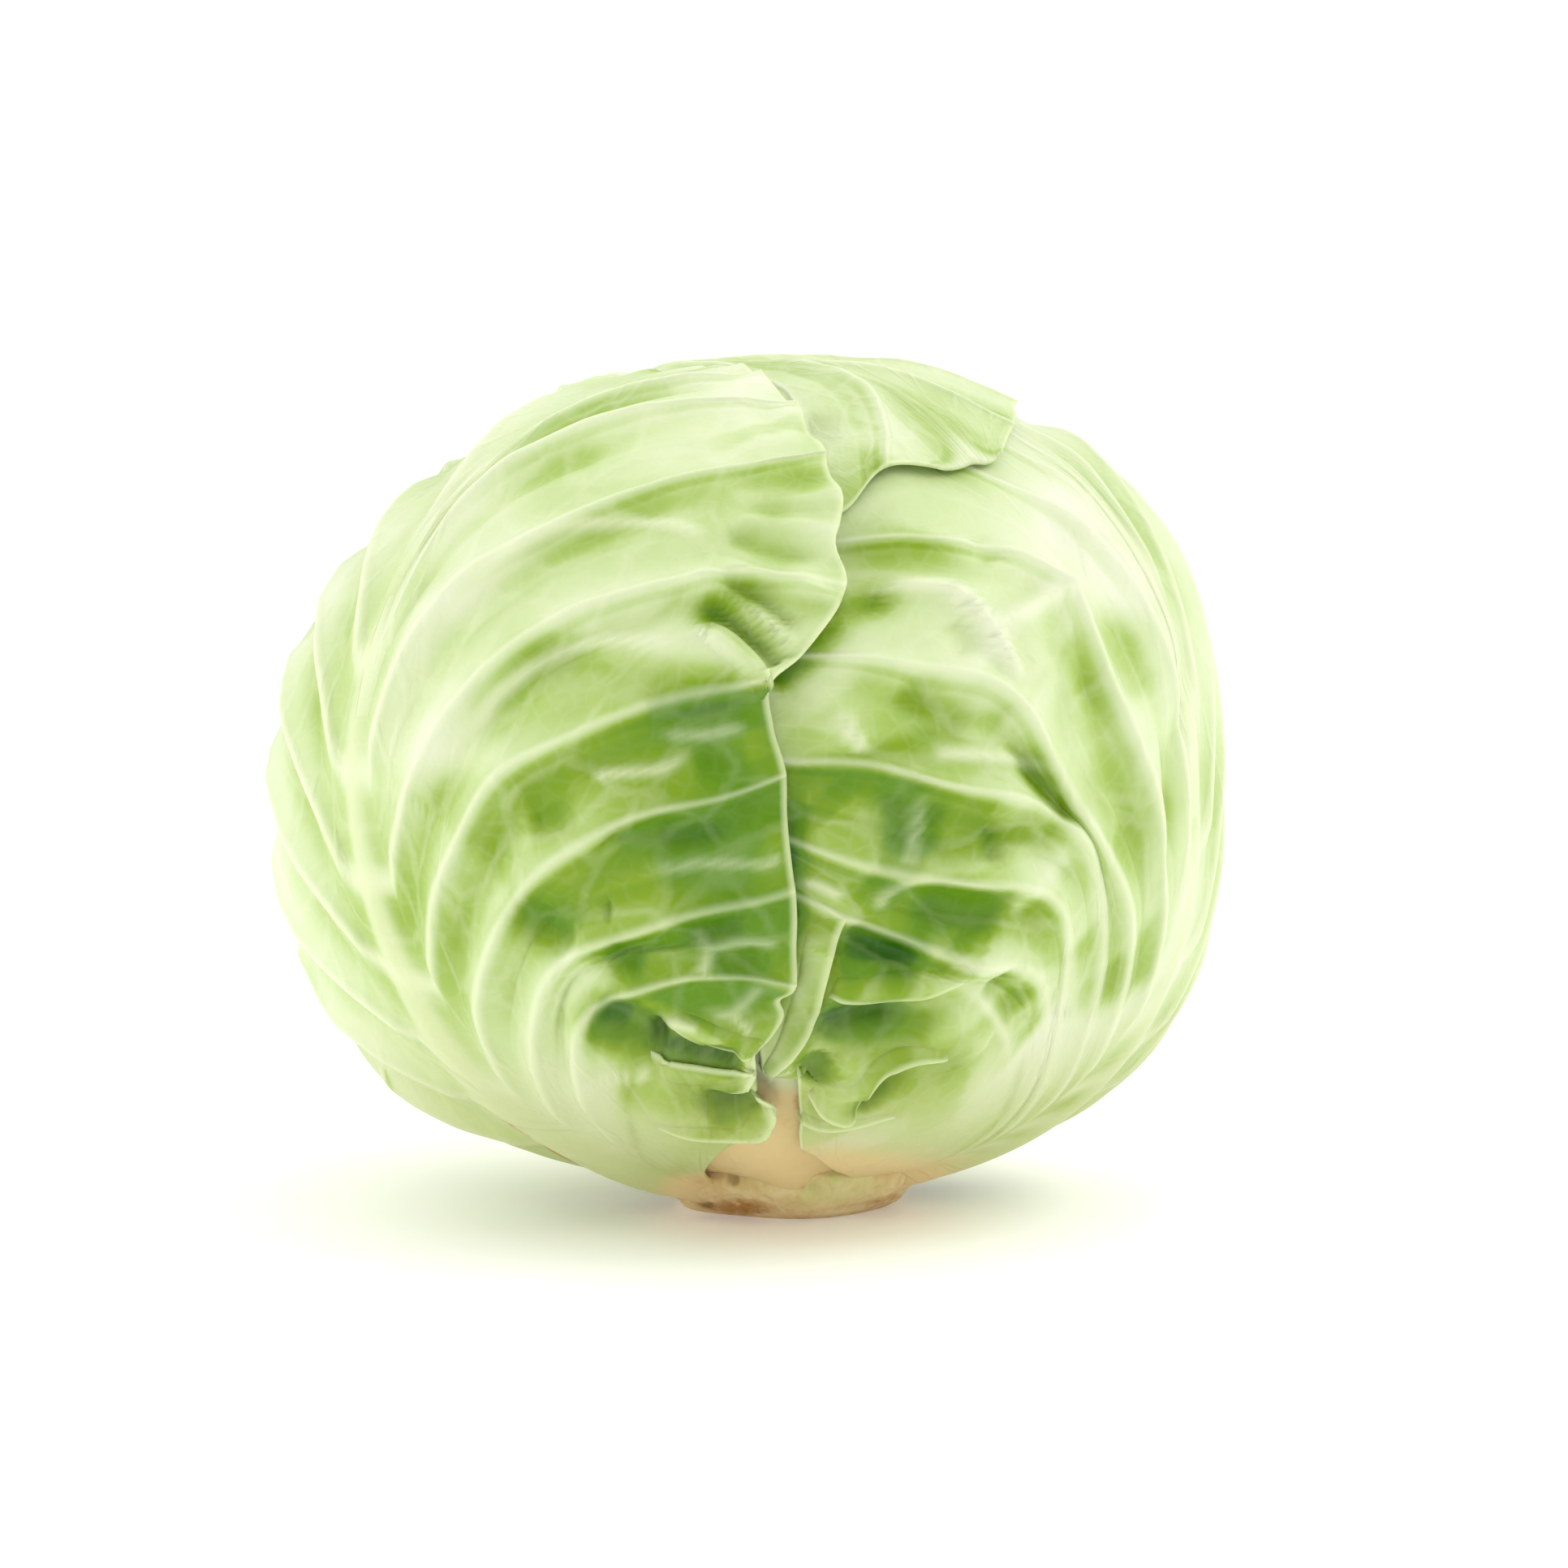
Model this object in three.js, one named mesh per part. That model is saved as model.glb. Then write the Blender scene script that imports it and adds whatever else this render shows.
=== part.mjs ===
// A head of cabbage: a dense heart on a cut stem, wrapped by six leaves that grow from the
// stem and overlap like shingles. Millimetres, +Z up, with the origin at the middle of the
// stem's cut face and the front of the head towards -Y.
//
// Each leaf is drawn flat, as if unrolled from the head: x runs across the leaf to the
// viewer's right, y runs up its midrib, and (0, 0) is where its middle meets the head. The
// flat drawing is then wrapped on the head, one leaf under another, from the outside in.
import * as THREE from 'three';

const { degToRad, lerp, smoothstep } = THREE.MathUtils;

// ---- The head -------------------------------------------------------------------------
const HEAD_CENTRE = new THREE.Vector3(-7.35, 0, 80);
const HEAD_HALF_WIDTH = 86.5;
const HEAD_HALF_DEPTH = 83.5;
const HEAD_HALF_HEIGHT = 75;
const HEAD_FULLNESS = 2.3; // 2 would be a plain ellipsoid
const HEAD_SWELLS = [ // where the head is fuller or flatter: degrees, and a height
  { azimuth: -90, elevation: 38, spread: 25, height: -7 },
  { azimuth: 90, elevation: 0, spread: 20, height: -2 },
  { azimuth: 90, elevation: -38, spread: 26, height: 3 },
  { azimuth: 65, elevation: 58, spread: 16, height: 3 },
];
const DRAWING_RADIUS = 85; // the radius at which a leaf's flat drawing is true to size

// ---- Leaves ---------------------------------------------------------------------------
const BLADE_THICKNESS = 1.2;
const LAYER_GAP = 2.4; // room between one blade and the next
const COVER_RIM = 2; // a leaf still presses down this far past its margin
const COVER_FADE = 12; // and lets what is under it rise again over this distance
const STALK_WIDTH = [15, 2]; // half width of the midrib, at the stem and at the tip
const STALK_EXTRA = [5, 0.4]; // how much thicker than the blade it is there
const STALK_OUTWARD = 0.7; // the share of that which stands out of the leaf's back
const RIB_HEIGHT = 1.3; // side veins on the leaf's back, near the midrib
const RIB_FADE = 0.6; // the share of that height lost by the margin
const RIB_ROOM = [8, 26]; // room between veins: too little for a crest, and enough
const RIB_HALF_STEP = 0.18; // half width of a side vein, as a share of the vein spacing
const MARGIN_SCALLOP = 1.6; // the margin bulges between the veins
const MARGIN_LIFT = 1.4; // and stands off the leaf below

// ---- Stem -----------------------------------------------------------------------------
const STEM_HEIGHT = 24;
const STEM_RADIUS = 20.4;
const STEM_COLLAR_HEIGHT = 7; // above this the stem tapers into the head
const STEM_TAPER = 0.33;
const STEM_LOBES = 5;
const STEM_LOBE_DEPTH = 0.7;
const STEM_EDGE = 0.9; // worn edge round the cut face
const STEM_SECTORS = 40;
const PIECE_GAP = 0.8; // between the stem and what grows from it

// ---- Heart ----------------------------------------------------------------------------
const HEART_SECTORS = 30;
const HEART_BANDS = 18;
const HEART_LEAVES = 5;
const HEART_LEAF_STEP = 1.6;
const HEART_TWIST = 1.1;

// ---- Leaf drawings: each row is a side vein, as [root, bend, margin] --------------------
const LEFT_LEAF = {
  name: 'leaf_left',
  azimuth: -50,
  elevation: 5,
  fold: 1.2,
  segments: 8,
  right: [
    [[40, -122], [50, -101], [61, -81]],
    [[36, -98], [48, -77], [69, -62]],
    [[26, -76], [38, -38], [81, -39]],
    [[22, -62], [34, -22], [84, -20]],
    [[18, -50], [28, -8], [81, 3]],
    [[14, -38], [20, 8], [76, 23]],
    [[9, -20], [16, 24], [83, 44]],
    [[4, -2], [10, 42], [68, 77]],
    [[2, 18], [1, 74], [50, 94]],
    [[1, 45], [5, 92], [32, 105]],
    [[0, 114], [8, 114], [16, 112]],
  ],
  left: [
    [[8, -122], [-12, -108], [-34, -98]],
    [[10, -98], [-22, -80], [-60, -76]],
    [[8, -80], [-26, -64], [-76, -56]],
    [[5, -64], [-24, -46], [-84, -34]],
    [[3, -49], [-22, -28], [-87, -12]],
    [[1, -34], [-20, -10], [-87, 8]],
    [[-2, -20], [-18, 10], [-84, 30]],
    [[-4, -2], [-18, 34], [-77, 50]],
    [[-2, 16], [-16, 56], [-66, 70]],
    [[-1, 45], [-10, 86], [-36, 97]],
    [[0, 114], [-8, 113], [-16, 110]],
  ],
};

const BACK_LEAF = {
  name: 'leaf_back',
  azimuth: -138,
  elevation: 25,
  fold: 0.8,
  segments: 6,
  right: [
    [[11, -151], [50, -132], [76, -106]],
    [[12, -128], [40, -96], [92, -78]],
    [[10, -104], [34, -62], [102, -46]],
    [[8, -80], [30, -30], [108, -10]],
    [[7, -54], [26, 4], [110, 26]],
    [[6, -26], [22, 40], [108, 62]],
    [[4, 4], [18, 74], [102, 98]],
    [[2, 36], [14, 106], [90, 128]],
    [[1, 70], [10, 136], [66, 152]],
    [[1, 110], [8, 150], [38, 157]],
    [[3, 165], [11, 166], [20, 164]],
  ],
  left: [
    [[-33, -151], [-60, -134], [-84, -108]],
    [[-18, -128], [-44, -98], [-98, -80]],
    [[-13, -104], [-36, -64], [-108, -46]],
    [[-10, -80], [-30, -32], [-112, -12]],
    [[-8, -54], [-26, 2], [-110, 24]],
    [[-6, -26], [-22, 36], [-102, 58]],
    [[-4, 4], [-16, 68], [-86, 88]],
    [[-2, 36], [-11, 98], [-66, 112]],
    [[-1, 70], [-8, 126], [-46, 136]],
    [[0, 110], [-5, 148], [-28, 153]],
    [[3, 165], [-4, 166], [-10, 164]],
  ],
};

const RIGHT_LEAF = {
  name: 'leaf_right',
  azimuth: 65,
  elevation: 5,
  fold: 3.4,
  segments: 8,
  right: [
    [[8, -109], [26, -98], [44, -88]],
    [[11, -99], [34, -76], [64, -68]],
    [[12, -90], [34, -56], [78, -48]],
    [[12, -80], [32, -36], [86, -28]],
    [[11, -68], [30, -16], [90, -6]],
    [[9, -54], [28, 6], [90, 18]],
    [[7, -38], [24, 30], [84, 44]],
    [[4, -18], [18, 54], [72, 68]],
    [[1, 6], [10, 78], [54, 90]],
    [[-1, 32], [4, 94], [31, 102]],
    [[-2, 114], [4, 114], [10, 112]],
  ],
  left: [
    [[-16, -109], [-36, -97], [-60, -82]],
    [[-17, -99], [-40, -74], [-77, -62]],
    [[-16, -90], [-32, -42], [-88, -42]],
    [[-14, -82], [-28, 0], [-92, -18]],
    [[-12, -74], [-26, 8], [-94, 10]],
    [[-10, -66], [-26, 18], [-92, 36]],
    [[-7, -48], [-16, 40], [-80, 66]],
    [[-4, -26], [-8, 62], [-62, 90]],
    [[-3, 0], [-6, 84], [-42, 104]],
    [[-3, 30], [-5, 95], [-25, 107]],
    [[-2, 114], [-6, 114], [-11, 113]],
  ],
};

// The three leaves under those are hidden but for slivers, so a formula draws them.
const PLAIN_LEAF_ROWS = 7;
const PLAIN_LEAF_HALF_WIDTH = 84;
const PLAIN_LEAF_TIP = 104;
const PLAIN_LEAF_STALK = 13;

/** One half of a plain leaf: side = 1 on the right and -1 on the left. */
function plainRows(base, side) {
  const [baseX, baseY] = base;
  return Array.from({ length: PLAIN_LEAF_ROWS }, (_, i) => {
    const along = i / (PLAIN_LEAF_ROWS - 1);
    const stalk = PLAIN_LEAF_STALK * (1 - along) ** 1.5;
    const root = [lerp(baseX, 0, along) + side * stalk, lerp(baseY, PLAIN_LEAF_TIP, along ** 1.4)];
    const reach = Math.sin(Math.PI * lerp(0.2, 0.96, along)) ** 0.7;
    const margin = [side * PLAIN_LEAF_HALF_WIDTH * reach, lerp(baseY + 20, PLAIN_LEAF_TIP - 2, along)];
    const bend = [lerp(root[0], margin[0], 0.35), lerp(root[1], margin[1], 0.8)];
    return [root, bend, margin];
  });
}

function plainLeaf(name, azimuth, elevation, base) {
  const [right, left] = [plainRows(base, 1), plainRows(base, -1)];
  return { name, azimuth, elevation, fold: 0, segments: 5, right, left };
}

const INNER_LEAVES = [
  plainLeaf('leaf_inner_left', -100, 0, [-2, -116]),
  plainLeaf('leaf_inner_right', 155, 5, [-10, -112]),
  plainLeaf('leaf_inner_front', 5, 0, [11, -107]),
];

// From the outside in: each one lies under all those before it.
const WRAPPING = [LEFT_LEAF, BACK_LEAF, RIGHT_LEAF, ...INNER_LEAVES];

// ---- Shapes ---------------------------------------------------------------------------

/** The unit direction at an azimuth, which is 0 at the front, and an elevation. */
function directionAt(azimuth, elevation) {
  const [turn, rise] = [degToRad(azimuth), degToRad(elevation)];
  return new THREE.Vector3(
    Math.sin(turn) * Math.cos(rise), -Math.cos(turn) * Math.cos(rise), Math.sin(rise));
}

/** Distance from the head's centre to its skin, in a unit direction. */
function headRadius(direction) {
  const across = Math.abs(direction.x / HEAD_HALF_WIDTH) ** HEAD_FULLNESS;
  const deep = Math.abs(direction.y / HEAD_HALF_DEPTH) ** HEAD_FULLNESS;
  const high = Math.abs(direction.z / HEAD_HALF_HEIGHT) ** HEAD_FULLNESS;
  return HEAD_SWELLS.reduce((radius, { azimuth, elevation, spread, height }) => {
    const away = direction.angleTo(directionAt(azimuth, elevation)) / degToRad(spread);
    return radius + height * Math.exp(-(away ** 2));
  }, (across + deep + high) ** (-1 / HEAD_FULLNESS));
}

/** The stem's radius at a height and an angle round its axis: round, with shallow lobes. */
function stemRadius(height, angle) {
  const taper = STEM_TAPER * Math.max(0, height - STEM_COLLAR_HEIGHT);
  const worn = STEM_EDGE * (1 - smoothstep(height, 0, 1.5 * STEM_EDGE));
  return STEM_RADIUS - taper - worn + STEM_LOBE_DEPTH * Math.cos(STEM_LOBES * angle + 0.6);
}

/** Moves a point of a leaf's foot across onto the stem's flank, leaving the gap. */
function setAgainstStem(point) {
  const angle = Math.atan2(point.y, point.x);
  const radius = stemRadius(point.z, angle) + PIECE_GAP;
  return new THREE.Vector3(radius * Math.cos(angle), radius * Math.sin(angle), point.z);
}

/** Distance from a point to the segment from a to b, all of them [x, y]. */
function distanceToSegment([x, y], [ax, ay], [bx, by]) {
  const [dx, dy] = [bx - ax, by - ay];
  const share = THREE.MathUtils.clamp(((x - ax) * dx + (y - ay) * dy) / (dx * dx + dy * dy), 0, 1);
  return { distance: Math.hypot(x - ax - share * dx, y - ay - share * dy), share };
}

/** True where the level line through a point crosses an outline an odd number of times. */
function isInside([x, y], outline) {
  return outline.reduce((inside, [ax, ay], i) => {
    const [bx, by] = outline[(i + 1) % outline.length];
    const crosses = (ay > y) !== (by > y) && x < ax + ((bx - ax) * (y - ay)) / (by - ay);
    return crosses ? !inside : inside;
  }, false);
}

/** How much narrower the drawing gets, round its middle, as a point of it is wrapped. */
function wrapShrink([x, y]) {
  const angle = Math.hypot(x, y) / DRAWING_RADIUS;
  return angle > 0 ? Math.sin(angle) / angle : 1;
}

/** A curve through points of the drawing, one step of its parameter from each to the next. */
function curveThrough(points) {
  const curve = new THREE.CatmullRomCurve3(points.map(([x, y]) => new THREE.Vector3(x, y, 0)));
  curve.curveType = 'catmullrom';
  return (step) => {
    const point = curve.getPoint(step / (points.length - 1));
    return [point.x, point.y];
  };
}

/** Half a leaf: its rows of side veins, blended from each to the next. */
class HalfBlade {
  constructor(rows) {
    this.lastStep = rows.length - 1;
    this.root = curveThrough(rows.map((row) => row[0]));
    this.bend = curveThrough(rows.map((row) => row[1]));
    this.margin = curveThrough(rows.map((row) => row[2]));
  }

  /** How much of a side vein's crest a point has: less where the veins crowd together. */
  crest(step, share) {
    const vein = Math.round(step);
    if (vein === 0 || vein === this.lastStep) return 0;
    const [below, above] = [this.at(vein - 0.5, share), this.at(vein + 0.5, share)];
    const room = Math.hypot(above[0] - below[0], above[1] - below[1]);
    return (1 - smoothstep(Math.abs(step - vein), 0, RIB_HALF_STEP)) * smoothstep(room, ...RIB_ROOM);
  }

  /** The margin, which bulges outwards between the veins and draws in at each of them. */
  scallopedMargin(step) {
    const [bend, margin] = [this.bend(step), this.margin(step)];
    const reach = Math.hypot(margin[0] - bend[0], margin[1] - bend[1]);
    const bulge = (MARGIN_SCALLOP * (0.5 - Math.cos(2 * Math.PI * step))) / reach;
    return [0, 1].map((i) => margin[i] + (margin[i] - bend[i]) * bulge);
  }

  /** A point of the drawing: share runs from 0 at the midrib to 1 at the margin. */
  at(step, share) {
    const [root, bend, margin] = [this.root(step), this.bend(step), this.scallopedMargin(step)];
    const weights = [(1 - share) ** 2, 2 * share * (1 - share), share ** 2];
    return [0, 1].map((i) => weights[0] * root[i] + weights[1] * bend[i] + weights[2] * margin[i]);
  }
}

/** A leaf, drawn flat and wrapped on the head. */
class Leaf {
  constructor(drawing) {
    Object.assign(this, drawing);
    this.out = directionAt(drawing.azimuth, drawing.elevation);
    this.up = directionAt(drawing.azimuth, drawing.elevation + 90);
    this.across = new THREE.Vector3().crossVectors(this.up, this.out);
    this.halves = { left: new HalfBlade(drawing.left), right: new HalfBlade(drawing.right) };
    this.lastStep = drawing.right.length - 1;
    this.outline = this.drawOutline();
    this.midrib = this.rowSteps().map((step) => this.midribAt(step));
  }

  midribAt(step) {
    const [left, right] = [this.halves.left.root(step), this.halves.right.root(step)];
    return [0, 1].map((i) => (left[i] + right[i]) / 2);
  }

  /** Rows of the mesh: a side vein's crest, its two feet, and one row between veins. */
  rowSteps() {
    const steps = [0];
    for (let vein = 1; vein < this.lastStep; vein++) {
      steps.push(vein - 0.5, vein - RIB_HALF_STEP, vein, vein + RIB_HALF_STEP);
    }
    return [...steps, this.lastStep - 0.5, this.lastStep];
  }

  /** The leaf's edge, once round: up the right margin from the stem and down the left. */
  drawOutline() {
    const steps = this.rowSteps();
    const foot = [0, 0.5].map((share) => this.halves.right.at(0, share));
    const footBack = [0.5, 0].map((share) => this.halves.left.at(0, share));
    const right = steps.map((step) => this.halves.right.at(step, 1));
    const left = steps.map((step) => this.halves.left.at(step, 1)).reverse();
    return [...foot, ...right, ...left, ...footBack];
  }

  /** The direction from the head's centre that a point of the drawing is wrapped to. */
  toDirection([x, y]) {
    const angle = Math.hypot(x, y) / DRAWING_RADIUS;
    const share = wrapShrink([x, y]) / DRAWING_RADIUS;
    return new THREE.Vector3()
      .addScaledVector(this.out, Math.cos(angle))
      .addScaledVector(this.across, x * share)
      .addScaledVector(this.up, y * share);
  }

  /** Where a direction from the head's centre lies in this leaf's drawing. */
  toDrawing(direction) {
    const [x, y] = [direction.dot(this.across), direction.dot(this.up)];
    const sine = Math.hypot(x, y);
    const scale = sine > 0 ? (Math.atan2(sine, direction.dot(this.out)) * DRAWING_RADIUS) / sine : 0;
    return [x * scale, y * scale];
  }

  /** How much thicker than the blade the leaf is at a point, for its tapering midrib. */
  stalkExtra(point) {
    let nearest = { distance: Infinity, along: 0 };
    this.midrib.slice(1).forEach((end, i) => {
      const { distance, share } = distanceToSegment(point, this.midrib[i], end);
      if (distance < nearest.distance) {
        nearest = { distance, along: (i + share) / (this.midrib.length - 1) };
      }
    });
    const taper = nearest.along ** 0.6;
    const width = lerp(STALK_WIDTH[0], STALK_WIDTH[1], taper);
    return lerp(STALK_EXTRA[0], STALK_EXTRA[1], taper) * (1 - smoothstep(nearest.distance, 0, width));
  }

  /** How far this leaf holds down what is under it, in a direction: a share and a depth. */
  pressAt(direction) {
    const point = this.toDrawing(direction);
    const edges = this.outline.map((start, i) => [start, this.outline[(i + 1) % this.outline.length]]);
    const distance = Math.min(...edges.map(([a, b]) => distanceToSegment(point, a, b).distance));
    const outside = isInside(point, this.outline) ? 0 : distance * wrapShrink(point);
    const cover = 1 - smoothstep(outside, COVER_RIM, COVER_RIM + COVER_FADE);
    const inward = this.stalkExtra(point) * (1 - STALK_OUTWARD);
    return { cover, depth: BLADE_THICKNESS + LAYER_GAP + inward };
  }

  /** How far the whole blade stands out from the head: folds along the veins, and its rim. */
  lift(half, step, share) {
    const fold = this.fold * half.crest(step, share) * Math.sin(Math.PI * lerp(0.15, 0.95, share));
    const sway = 0.5 + 0.5 * Math.sin(2.1 * step + this.azimuth);
    return fold + MARGIN_LIFT * share ** 4 * (0.5 + sway);
  }

  /** Both faces of the leaf at a point of the drawing, under the leaves that cover it. */
  facesAt(half, step, share, covering) {
    const point = half.at(step, share);
    const direction = this.toDirection(point);
    const { radius, free } = layerAt(direction, covering);
    const extra = this.stalkExtra(point);
    const rib = RIB_HEIGHT * half.crest(step, share) * (1 - RIB_FADE * share);
    const middle = radius + free * this.lift(half, step, share);
    return [
      placeAt(direction, middle + free * (rib + extra * STALK_OUTWARD)),
      placeAt(direction, middle - BLADE_THICKNESS - extra * (1 - STALK_OUTWARD)),
    ];
  }

  /** Both faces on the midrib, part of the way from its left edge to its right edge. */
  stalkFacesAt(step, share, covering) {
    const [left, right] = [this.halves.left.root(step), this.halves.right.root(step)];
    const point = [0, 1].map((i) => lerp(left[i], right[i], share));
    const direction = this.toDirection(point);
    const { radius, free } = layerAt(direction, covering);
    const extra = this.stalkExtra(point);
    return [
      placeAt(direction, radius + free * extra * STALK_OUTWARD),
      placeAt(direction, radius - BLADE_THICKNESS - extra * (1 - STALK_OUTWARD)),
    ];
  }

  /** The leaf as one closed shell, under the leaves that cover it. */
  geometry(covering) {
    const shares = Array.from({ length: this.segments }, (_, i) => (i + 1) / this.segments);
    const stalkShares = [0, 0.25, 0.5, 0.75, 1];
    const rows = this.rowSteps().map((step) => {
      const stalk = stalkShares.map((share) => this.stalkFacesAt(step, share, covering));
      const foot = step === 0 ? stalk.map((faces) => faces.map(setAgainstStem)) : stalk;
      return [
        ...[...shares].reverse().map((share) => this.facesAt(this.halves.left, step, share, covering)),
        ...foot,
        ...shares.map((share) => this.facesAt(this.halves.right, step, share, covering)),
      ];
    });
    return closedShell(rows);
  }
}

function placeAt(direction, radius) {
  return direction.clone().multiplyScalar(radius).add(HEAD_CENTRE);
}

/** The head's skin under some leaves: its radius, and how free it is to stand out. */
function layerAt(direction, covering) {
  let [radius, free] = [headRadius(direction), 1];
  for (const leaf of covering) {
    const { cover, depth } = leaf.pressAt(direction);
    radius -= cover * depth;
    free = Math.min(free, 1 - cover);
  }
  return { radius, free };
}

/** Makes a geometry from corner points and triangles of their numbers. */
function solidFrom(points, triangles) {
  const geometry = new THREE.BufferGeometry().setFromPoints(points);
  geometry.setIndex(triangles.flat());
  geometry.computeVertexNormals();
  return geometry;
}

/** Closes a grid of [outer, inner] points into a shell, with the same triangles on both. */
function closedShell(rows) {
  const width = rows[0].length;
  const count = rows.length * width;
  const points = [0, 1].flatMap((face) => rows.flat().map((faces) => faces[face]));
  const triangles = [];
  for (let row = 0; row < rows.length - 1; row++) {
    for (let column = 0; column < width - 1; column++) {
      const a = row * width + column;
      const [b, c, d] = [a + 1, a + width + 1, a + width];
      const pair = column < width / 2 ? [[a, b, d], [b, c, d]] : [[a, b, c], [a, c, d]];
      triangles.push(...pair, ...pair.map(([p, q, r]) => [p + count, r + count, q + count]));
    }
  }
  const lastRow = count - width;
  const rim = [
    ...Array.from({ length: width }, (_, i) => i),
    ...Array.from({ length: rows.length - 1 }, (_, i) => (i + 2) * width - 1),
    ...Array.from({ length: width - 1 }, (_, i) => count - 2 - i),
    ...Array.from({ length: rows.length - 2 }, (_, i) => lastRow - (i + 1) * width),
  ];
  rim.forEach((a, i) => {
    const b = rim[(i + 1) % rim.length];
    triangles.push([b, a, a + count], [b, a + count, b + count]);
  });
  return solidFrom(points, triangles);
}

/** Closes rings of points, lowest first, with a fan at each end. */
function closedRings(rings, bottom, top) {
  const sectors = rings[0].length;
  const points = [...rings.flat(), bottom, top];
  const [bottomCentre, topCentre] = [points.length - 2, points.length - 1];
  const topRing = (rings.length - 1) * sectors;
  const triangles = [];
  for (let sector = 0; sector < sectors; sector++) {
    const next = (sector + 1) % sectors;
    triangles.push([bottomCentre, next, sector], [topCentre, topRing + sector, topRing + next]);
    for (let ring = 0; ring < rings.length - 1; ring++) {
      const [a, b] = [ring * sectors + sector, ring * sectors + next];
      triangles.push([a, b, b + sectors], [a, b + sectors, a + sectors]);
    }
  }
  return solidFrom(points, triangles);
}

/** The heart: the head's skin under all the leaves, with the edges of its own leaves. */
function heartGeometry(covering) {
  const lowest = STEM_HEIGHT + PIECE_GAP;
  const pointAt = (direction) => {
    const turn = Math.atan2(direction.y, direction.x) / (2 * Math.PI);
    const phase = (turn + HEART_TWIST * direction.z) * HEART_LEAVES;
    const step = smoothstep(phase - Math.floor(phase), 0, 0.85) * Math.sqrt(1 - direction.z ** 2);
    const point = placeAt(direction, layerAt(direction, covering).radius - HEART_LEAF_STEP * (1 - step));
    return point.setZ(Math.max(point.z, lowest));
  };
  const rings = Array.from({ length: HEART_BANDS - 1 }, (_, band) => {
    const polar = Math.PI * (1 - (band + 1) / HEART_BANDS);
    return Array.from({ length: HEART_SECTORS }, (_, sector) =>
      pointAt(new THREE.Vector3().setFromSphericalCoords(
        1, polar, (sector / HEART_SECTORS) * 2 * Math.PI).applyAxisAngle(
        new THREE.Vector3(1, 0, 0), Math.PI / 2)));
  });
  return closedRings(rings, pointAt(new THREE.Vector3(0, 0, -1)), pointAt(new THREE.Vector3(0, 0, 1)));
}

/** The stem: a short tapering plug, cut flat across its foot. */
function stemGeometry() {
  const heights = [0, 1.5 * STEM_EDGE, 4, STEM_COLLAR_HEIGHT, 12, 18, STEM_HEIGHT];
  const rings = heights.map((height) => Array.from({ length: STEM_SECTORS }, (_, sector) => {
    const angle = (sector / STEM_SECTORS) * 2 * Math.PI;
    const radius = stemRadius(height, angle);
    return new THREE.Vector3(radius * Math.cos(angle), radius * Math.sin(angle), height);
  }));
  return closedRings(rings, new THREE.Vector3(0, 0, 0), new THREE.Vector3(0, 0, STEM_HEIGHT));
}

// ---- Materials ------------------------------------------------------------------------
const OUTER_LEAF = new THREE.MeshStandardMaterial({ color: 0xb5cf82, roughness: 0.5, metalness: 0 });
const INNER_LEAF = new THREE.MeshStandardMaterial({ color: 0xcfe0a3, roughness: 0.5, metalness: 0 });
const HEART_LEAF = new THREE.MeshStandardMaterial({ color: 0xe6efc4, roughness: 0.55, metalness: 0 });
const CUT_STEM = new THREE.MeshStandardMaterial({ color: 0xc9bb83, roughness: 0.75, metalness: 0 });

// ---- Assembly -------------------------------------------------------------------------
const group = new THREE.Group();

function addPiece(name, geometry, material) {
  const mesh = new THREE.Mesh(geometry, material);
  mesh.name = name;
  group.add(mesh);
}

const leaves = WRAPPING.map((drawing) => new Leaf(drawing));
leaves.forEach((leaf, i) => {
  const material = INNER_LEAVES.includes(WRAPPING[i]) ? INNER_LEAF : OUTER_LEAF;
  addPiece(leaf.name, leaf.geometry(leaves.slice(0, i)), material);
});
addPiece('heart', heartGeometry(leaves), HEART_LEAF);
addPiece('stem', stemGeometry(), CUT_STEM);

export default group;
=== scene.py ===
"""A head of cabbage on a pale table: six wrapped leaves, the heart they hold, and the cut stem.

Lengths are millimetres until a mesh is made. Each leaf is drawn flat, as if unrolled from the
head: x runs across it, y runs up its midrib, and (0, 0) is where its middle meets the head. The
drawing is a net of side veins, and is wrapped on the head under the leaves that cover it.
"""

import logging
import math
from dataclasses import dataclass, field
from enum import Enum
from typing import Any, Callable, Iterable, Iterator, Optional, Sequence, Union

import bpy
import numpy as np
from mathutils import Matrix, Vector


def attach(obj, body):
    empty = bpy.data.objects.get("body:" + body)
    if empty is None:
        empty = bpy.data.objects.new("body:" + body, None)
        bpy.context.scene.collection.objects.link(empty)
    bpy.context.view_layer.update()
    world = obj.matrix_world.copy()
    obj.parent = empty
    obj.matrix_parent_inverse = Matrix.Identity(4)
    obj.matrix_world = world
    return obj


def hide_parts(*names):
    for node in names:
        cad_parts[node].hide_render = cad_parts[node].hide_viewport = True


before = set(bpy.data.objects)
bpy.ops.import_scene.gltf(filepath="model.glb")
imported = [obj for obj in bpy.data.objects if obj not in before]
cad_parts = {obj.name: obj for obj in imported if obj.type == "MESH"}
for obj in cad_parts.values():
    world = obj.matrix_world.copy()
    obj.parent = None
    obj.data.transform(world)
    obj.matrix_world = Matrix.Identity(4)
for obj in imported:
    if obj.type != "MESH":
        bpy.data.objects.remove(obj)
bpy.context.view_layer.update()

Array = np.ndarray
Point = tuple[float, float]
Row = tuple[Point, ...]
Place = tuple[float, float, float]

MM = 0.001
BODY = "root"
LOG = logging.getLogger("cabbage")


# ---- Arithmetic on whole arrays -----------------------------------------------------------

def smooth(values: Array, low: float, high: float) -> Array:
    """Rises from 0 at low to 1 at high: 3s^2 - 2s^3 of the share s between them."""
    share = np.clip((values - low) / (high - low), 0.0, 1.0)
    return share * share * (3.0 - 2.0 * share)


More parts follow.
